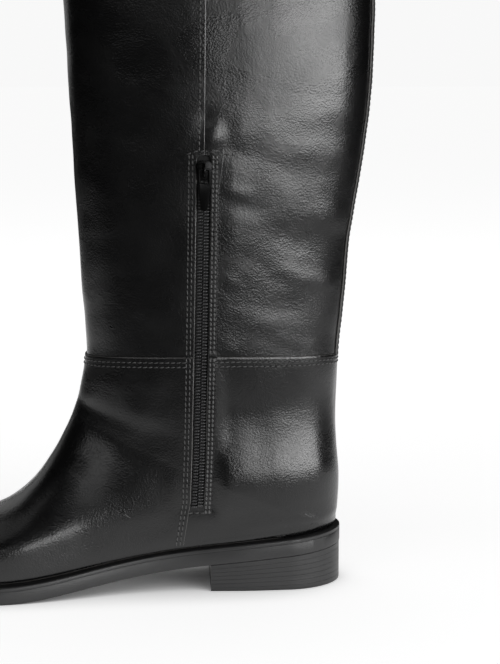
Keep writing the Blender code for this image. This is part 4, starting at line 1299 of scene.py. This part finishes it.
stitches = {
    "pitch": 2.9,
    "size": (1.22, 0.36, 0.34),  # half length, half width, half rise
    "slant": 7.0,
    # dark discs set just under the thread, painted shade in the needle holes
    "hole": (0.34, 0.32, 0.12),
    "ropePitch": 2.45,  # the facing is sewn with a thicker thread
    "rope": (1.15, 0.6, 0.5),
    "ropeSlant": 12.0,
    "proud": 0.1,
    "front": (3.7, 1.8),  # rows in front of the front panel's edge
    "rear": (4.6, 6.5),
    "facingEdge": 7.75,  # dark discs as painted shade of pinholes along the facing's outer edge
    "facingEdgeTop": 22.0,  # they end this far under the slot's top
    "seam": 2.5,  # row in front of the seam above the zip
    "vamp": (2.2, 4.2),  # rows in front of the vamp's edge on the outer side
    "ankle": (2.0, 4.1),  # rows under the foot's top edge
    "rowRise": 9.2,  # what a row of the last rises there
    "ankleUp": 127.6,
    "ankleClear": (1.5, 2.0, 2.5),  # below, above, and above for the facing
    "outerClear": 6.0,
    "lowUp": 27.0,
    "collarUp": 400.0,
    "slotClear": (2.6, 1.0, 1.2),  # under the slot, and under its top in front and behind
    "seamClear": 3.0,
    "slotEnd": [(3.4, -3.2), (-6.4, -3.2)],  # from the slot's low end
    "archRear": [(-0.6, 1.9), (-5.0, 1.4), (-8.2, 0.2)],  # from its top
    "archFront": (0.6, 1.6, 1.9),  # rises of the front half
    "archMiddle": 0.8,
    "ankleEnds": (8.6, -8.0),  # the ankle's rows end beside the zip
    "outerEnds": (1.2, -1.2),
    "endRow": 0.3,  # rows under the ankle where these are measured
    "ankleSteps": 260,
    "zipStep": 2.0,
    "backGap": 0.004,
    "strip": 7.2,
    "stripEnds": 0.1,
    "stripSteps": 300,
}


def footLift(row):
    return lapOf(unrisen(row)) + stitches["proud"]


def rearLift(row):
    return np.where(unrisen(row) < last["ankleRow"], footLift(row), stitches["proud"]) - boot["panelStep"]


def facingLift(row):
    return rearLift(row) + zipParts["facingThick"]


def edgeLine(low, high, shift, edge=seamEdge, step=1.0):
    up = np.linspace(low, high, int((high - low) / step) + 2)
    return np.stack([edge(up) + shift, up], -1)


def zipSide(low, high, shift, lift):
    return sideLine(edgeLine(low, high, shift, zipLine, stitches["zipStep"]), lift)


def fromZip(up, corners):  # corners beside the zip, from a height on its middle line
    return [(zipLine(up) + across, up + rise) for across, rise in corners]


def ankleLine(down, first, final, step=0.0):
    # a line round the foot a little under its top edge, between two turns
    turns = np.linspace(first, final, stitches["ankleSteps"])
    row = np.full(turns.shape, float(last["ankleRow"])) - down / stitches["rowRise"]
    lift = lapOf(row) + stitches["proud"] - step
    row = risen(row, turns)
    return leather(row, turns, lift), skinNormal(row, turns)


def footLines():
    under = stitches["ankleUp"] - stitches["ankleClear"][0]
    lines = []
    for shift in stitches["front"]:
        line = edgeLine(stitches["lowUp"], under, shift, lambda up: frontEdge(up, 1.0))
        lines.append(sideLine(line, footLift))
    lines.append(sideLine(fromZip(slot["low"], stitches["slotEnd"]), rearLift))
    for shift in stitches["vamp"]:
        line = edgeLine(stitches["lowUp"], stitches["ankleUp"] - stitches["outerClear"], shift)
        lines.append(sideLine(line, footLift, -1.0))
    row = np.array([last["ankleRow"] - stitches["endRow"]])
    ends = []
    for edge, side, shifts in ((zipLine, 1.0, "ankleEnds"), (seamEdge, -1.0, "outerEnds")):
        for shift in stitches[shifts]:
            ends.append(side * float(edgeTurn(row, lambda up, side: edge(up) + shift, side)[0]))
    innerFront, innerRear, outerFront, outerRear = ends
    back = math.pi - stitches["backGap"]
    for down in stitches["ankle"]:
        lines.append(ankleLine(down, outerFront, innerFront))
        lines.append(ankleLine(down, innerRear, back, boot["panelStep"]))
        lines.append(ankleLine(down, -back, outerRear, boot["panelStep"]))
    return lines


def legLines():
    top, proud = slot["top"], stitches["proud"]
    over = stitches["ankleUp"] + stitches["ankleClear"][1]
    shifts = [slot["half"] + shift for shift in stitches["front"]]
    lines = [zipSide(over, top - stitches["slotClear"][1], shift, proud) for shift in shifts]
    arch = list(zip([*shifts, stitches["archMiddle"]], stitches["archFront"]))
    lines.append(sideLine(fromZip(top, arch), proud))
    lines.append(sideLine(fromZip(top, stitches["archRear"]), facingLift))
    for side, low in ((1.0, top + stitches["seamClear"]), (-1.0, over)):
        lines.append(sideLine(edgeLine(low, stitches["collarUp"], stitches["seam"]), proud, side))
    ends = stitches["stripEnds"]
    rows = np.linspace(backStrip["lowRow"] + ends, topRow - ends, stitches["stripSteps"])
    lift = backStrip["low"] + backStrip["thick"] + proud
    for side in (1.0, -1.0):
        turns = side * (math.pi - stitches["strip"] / lastAt["half"](rows))
        lines.append((leather(rows, turns, lift), skinNormal(rows, turns)))
    return lines


def facingLines(shifts, topClear):
    low = slot["low"] - stitches["slotClear"][0]
    under = stitches["ankleUp"] - stitches["ankleClear"][0]
    over = stitches["ankleUp"] + stitches["ankleClear"][2]
    lines = [zipSide(low, under, -shift, facingLift) for shift in shifts]
    return lines + [zipSide(over, slot["top"] - topClear, -shift, facingLift) for shift in shifts]


def makeStitches():
    foot, leg = footLines(), legLines()
    rope = facingLines(stitches["rear"], stitches["slotClear"][2])
    pinned = rope + facingLines([stitches["facingEdge"]], stitches["facingEdgeTop"])
    still = (0.0, 0.0, 0.0)
    pitch, ropePitch, slant = stitches["pitch"], stitches["ropePitch"], stitches["slant"]
    thread = beadValues(pitch, stitches["size"], still, slant, "thread")
    # painted shade: dark discs where the needle holes are
    hole, ropeHoleShade = (
        beadValues(run, stitches["hole"], (0.5 * run, 0.0, -stitches["proud"]), slant, "hole")
        for run in (pitch, ropePitch)
    )
    # these stitches take the lighter facing thread, a painted highlight
    thick = beadValues(ropePitch, stitches["rope"], still, stitches["ropeSlant"], "rope")
    for name, lines, values in (
        ("footStitches", foot, thread), ("legStitches", leg, thread), ("footHoles", foot, hole),
        ("legHoles", leg, hole), ("facingHoles", pinned, ropeHoleShade), ("facingStitches", rope, thick),
    ):
        settle(runTree(name, stitchTree, lines, values), "tape_black")


makeStitches()
print("stitches laid")


# slider and pull tab, drawn flat as (across towards the toe, rise) and set out from the leather
slider = {
    "height": 224.6,
    "plate": (0.6, 1.9),
    "outline": [
        (3.6, 3.9), (2.6, 4.7), (1.2, 5.0), (-1.2, 5.0), (-2.6, 4.7), (-3.6, 3.9), (-4.1, 2.6),
        (-3.9, 0.0), (-3.4, -4.2), (-2.6, -5.0), (2.6, -5.0), (3.4, -4.2), (3.9, 0.0), (4.1, 2.6),
    ],
    "boss": (2.8, 3.5),
    "bossEnds": (-0.2, 0.1),  # into the leather, into the plate
    "bossBevel": 0.15,
    "bailSpan": 6.4,
    "bailTop": 5.2,
    "bailRadius": 0.55,
    "bailRoot": 0.5,  # how deep its ends sit in the plate
    "bailFullness": 0.6,
    "bevel": 0.45,
}
pull = {
    "pivotOut": 2.9,
    "pivotRise": 0.4,
    "lean": 4.0,
    "thick": 1.0,
    "bar": 1.0,
    "length": 21.8,
    "windowLength": 6.6,
    "windowHalf": 2.0,
    "half": 3.3,
    "tipHalf": 2.0,
    "tipCorner": 1.2,
    "bevel": 0.4,
}


def zipFace(up):
    row, turn = locate(zipLine(up), up)
    return skin(row, turn)


def filledMesh(name, loops, thick):
    # fills closed outlines, the first outside and the rest holes
    curve = bpy.data.curves.new(name, "CURVE")
    curve.dimensions = "2D"
    curve.fill_mode = "BOTH"
    curve.extrude = 0.5 * thick
    for loop in loops:
        line = curve.splines.new("POLY")
        line.points.add(len(loop) - 1)
        for point, (x, y) in zip(line.points, loop):
            point.co = (x, y, 0.0, 1.0)
        line.use_cyclic_u = True
    flat = showPiece(name, curve)
    bpy.context.view_layer.update()
    mesh = bpy.data.meshes.new_from_object(flat.evaluated_get(bpy.context.evaluated_depsgraph_get()))
    bpy.data.objects.remove(flat)
    return mesh


def flatPiece(name, loops, low, high, bevel, setPlace):
    mesh = filledMesh(name, loops, high - low)
    body = bmesh.new()
    body.from_mesh(mesh)
    bmesh.ops.remove_doubles(body, verts=body.verts, dist=1e-4)
    bmesh.ops.dissolve_limit(body, angle_limit=0.02, verts=body.verts, edges=body.edges)
    sharp = [e for e in body.edges if len(e.link_faces) == 2 and e.calc_face_angle(0.0) > 0.5]
    bent = bmesh.ops.bevel(
        body, geom=sharp, offset=bevel, segments=3, profile=0.6, affect="EDGES", clamp_overlap=True
    )
    for face in bent["faces"]:
        face.material_index = 1  # the lacquer is worn along the edges
    for vert in body.verts:
        spot = setPlace(vert.co.x, vert.co.z + 0.5 * (low + high), vert.co.y)
        vert.co = Vector(place(spot).tolist())
    bmesh.ops.recalc_face_normals(body, faces=body.faces)
    body.to_mesh(mesh)
    body.free()
    mesh.materials.clear()
    for coat in ("metal", "worn"):
        mesh.materials.append(finish[coat])
    mesh.shade_smooth()
    mesh.set_sharp_from_angle(angle=math.radians(20))
    return showPiece(name, mesh)


def tube(name, route, radius, coat, sides=12):
    # a round bar along a route in millimetres, with closed ends
    route = np.array(route, float)
    tangent = np.gradient(route, axis=0)
    tangent /= np.linalg.norm(tangent, axis=1, keepdims=True)
    across = np.array([1.0, 0.0, 0.0])
    points, faces = [], []
    for spot, way in zip(route, tangent):
        side = np.cross(way, across)
        side /= np.linalg.norm(side)
        for k in range(sides):
            angle = 2.0 * math.pi * k / sides
            points.append(spot + radius * (math.cos(angle) * across + math.sin(angle) * side))
    for i in range(len(route) - 1):
        for k in range(sides):
            a, b = i * sides + k, i * sides + (k + 1) % sides
            faces.append((a, b, b + sides, a + sides))
    faces.append(tuple(range(sides)))
    faces.append(tuple((len(route) - 1) * sides + k for k in range(sides)))
    return newPiece(name, points, faces, [coat])


def makeSlider():
    face = zipFace(slider["height"])
    upright = lambda across, out, rise: face + np.array([across, out, rise])
    low, high = slider["plate"]
    plate = flatPiece("sliderPlate", [slider["outline"]], low, high, slider["bevel"], upright)
    wide, tall = slider["boss"]
    block = [(wide, tall), (-wide, tall), (-wide, -tall), (wide, -tall)]
    under, over = slider["bossEnds"]
    boss = flatPiece("sliderNeck", [block], under, low + over, slider["bossBevel"], upright)
    angles = np.linspace(0.0, math.pi, 25)[1:-1]
    rise = slider["bailTop"] - slider["bailRadius"] - high
    span, root = 0.5 * slider["bailSpan"], high - slider["bailRoot"]
    route = [upright(0.0, root, span)]
    for angle in angles:
        arch = rise * math.sin(angle) ** slider["bailFullness"]
        route.append(upright(0.0, high + arch, span * math.cos(angle)))
    route.append(upright(0.0, root, -span))
    bail = tube("sliderBail", route, slider["bailRadius"], "metal")
    return plate, boss, bail


def makePull():
    face = zipFace(slider["height"])
    lean = math.radians(pull["lean"])

    def hung(across, out, rise):  # the tab turns about its own top bar
        return face + np.array([
            across,
            pull["pivotOut"] + out * math.cos(lean) + rise * math.sin(lean),
            pull["pivotRise"] + rise * math.cos(lean) - out * math.sin(lean),
        ])

    top = 0.5 * pull["bar"]
    windowLow = -top - pull["windowLength"]
    low = top - pull["length"]
    shoulder = windowLow - pull["bar"]
    half, tipHalf, cut, hole = pull["half"], pull["tipHalf"], pull["tipCorner"], pull["windowHalf"]
    body = [
        (half, top), (-half, top), (-half, shoulder), (-tipHalf, low + cut),
        (cut - tipHalf, low), (tipHalf - cut, low), (tipHalf, low + cut), (half, shoulder),
    ]
    window = [(hole, -top), (hole, windowLow), (-hole, windowLow), (-hole, -top)]
    halfThick = 0.5 * pull["thick"]
    return flatPiece("pullTab", [body, window], -halfThick, halfThick, pull["bevel"], hung)


for piece in makeSlider():
    settle(piece, "slider_black", "zip_slider")
settle(makePull(), "pull_black", "zip_pull", body="pull")
print("slider and pull made")


studio = {
    "paper": (0.82, 0.82, 0.82),
    "table": (0.16, 0.16, 0.16),  # beyond the paper's soft edge
    "floorSize": 14.0,
    "glow": 0.74,  # the paper is lit from below
    "frontEnd": (-0.36, -0.06),
    "sideEnd": (0.5, 1.0),
    "widening": -0.3,  # the paper grows narrower to the back
    "backGlow": 0.2,  # more towards the back
    "backReach": (0.1, 0.9),
    "contact": 0.055,  # how far the shadow reaches where the boot is close to the paper
    "openness": (0.05, 0.75),
    "backdrop": 0.94,  # what the camera sees behind the boot
    "around": 0.012,  # what the leather sees around it
}
white = (1.0, 1.0, 1.0, 1.0)
lamps = [  # name, watts, width, height, place, aim
    ("sideSoftbox", 11.0, 1.2, 0.32, (0.95, -0.9, 0.26), (0.08, 0.0, 0.24)),
    ("sidePanel", 1.3, 0.2, 0.34, (0.33, -1.24, 0.25), (0.08, 0.0, 0.24)),
    ("frontCard", 4.4, 1.7, 0.6, (-0.95, -1.75, 0.95), (-0.02, 0.0, 0.07)),
    ("overhead", 5.0, 2.0, 2.0, (0.0, 0.3, 1.6), (0.0, 0.0, 0.0)),
    ("farSoftbox", 1.0, 1.2, 0.6, (-0.7, 1.3, 0.5), (0.0, 0.0, 0.2)),
]


def lightTable():
    material, nodes, shader = newMaterial("lightTable")
    coords = nodes.coords()
    apart = nodes.add("ShaderNodeSeparateXYZ", {"Vector": coords}).outputs
    size, glow = studio["floorSize"], studio["glow"]
    front = mapRange(nodes, apart["Y"], *studio["frontEnd"], 0.0, 1.0)
    aside = nodes.add("ShaderNodeMath", {0: apart["X"]}, operation="ABSOLUTE").outputs["Value"]
    wider = mapRange(nodes, apart["Y"], 0.0, size, 0.0, studio["widening"] * size)
    aside = combined(nodes, "SUBTRACT", aside, wider)
    paper = combined(nodes, "MULTIPLY", front, mapRange(nodes, aside, *studio["sideEnd"], 1.0, 0.0))
    paper = combined(nodes, "MAXIMUM", paper, nodes.add("ShaderNodeLightPath").outputs["Is Camera Ray"])
    back = mapRange(nodes, apart["Y"], *studio["backReach"], glow, glow + studio["backGlow"])
    # painted contact shadow: the paper's glow is dimmed where the boot is close to it
    closeness = nodes.add("ShaderNodeAmbientOcclusion", {"Distance": studio["contact"]}, samples=12)
    openShare = mapRange(nodes, closeness.outputs["AO"], *studio["openness"], 0.0, 1.0)
    shining = combined(nodes, "MULTIPLY", combined(nodes, "MULTIPLY", paper, back), openShare)
    rough = mapRange(nodes, noise(nodes, coords, 9.0), 0.3, 0.7, 0.6, 0.7)
    nodes.feed(shader.inputs["Base Color"], blendColours(nodes, paper, studio["table"], studio["paper"]))
    nodes.feed(shader.inputs["Emission Color"], white)
    nodes.feed(shader.inputs["Emission Strength"], shining)
    nodes.feed(shader.inputs["Roughness"], rough)
    return material


def makeFloor():
    size = studio["floorSize"]
    mesh = bpy.data.meshes.new("floor")
    corners = [(-size, -size, 0.0), (size, -size, 0.0), (size, size, 0.0), (-size, size, 0.0)]
    mesh.from_pydata(corners, [], [(0, 1, 2, 3)])
    mesh.materials.append(lightTable())
    return showPiece("floor", mesh)


def makeWorld():
    world = bpy.data.worlds.new("studio")
    world.use_nodes = True
    nodes = Nodes(world.node_tree)
    background = world.node_tree.nodes["Background"]
    seen = nodes.add("ShaderNodeLightPath").outputs["Is Camera Ray"]
    level = mapRange(nodes, seen, 0.0, 1.0, studio["around"], studio["backdrop"])
    nodes.feed(background.inputs["Strength"], level)
    nodes.feed(background.inputs["Color"], white)
    return world


def makeLamp(name, watts, width, height, spot, aim):
    data = bpy.data.lights.new(name, "AREA")
    data.shape = "RECTANGLE"
    data.energy = watts
    data.size = width
    data.size_y = height
    lamp = showPiece(name, data)
    lamp.location = spot
    lamp.rotation_euler = (Vector(aim) - Vector(spot)).to_track_quat("-Z", "Y").to_euler()
    lamp.visible_camera = False


makeFloor()
bpy.context.scene.world = makeWorld()
bpy.context.scene.view_settings.view_transform = "Standard"
for lamp in lamps:
    makeLamp(*lamp)
print("studio lit")

bpy.context.view_layer.update()
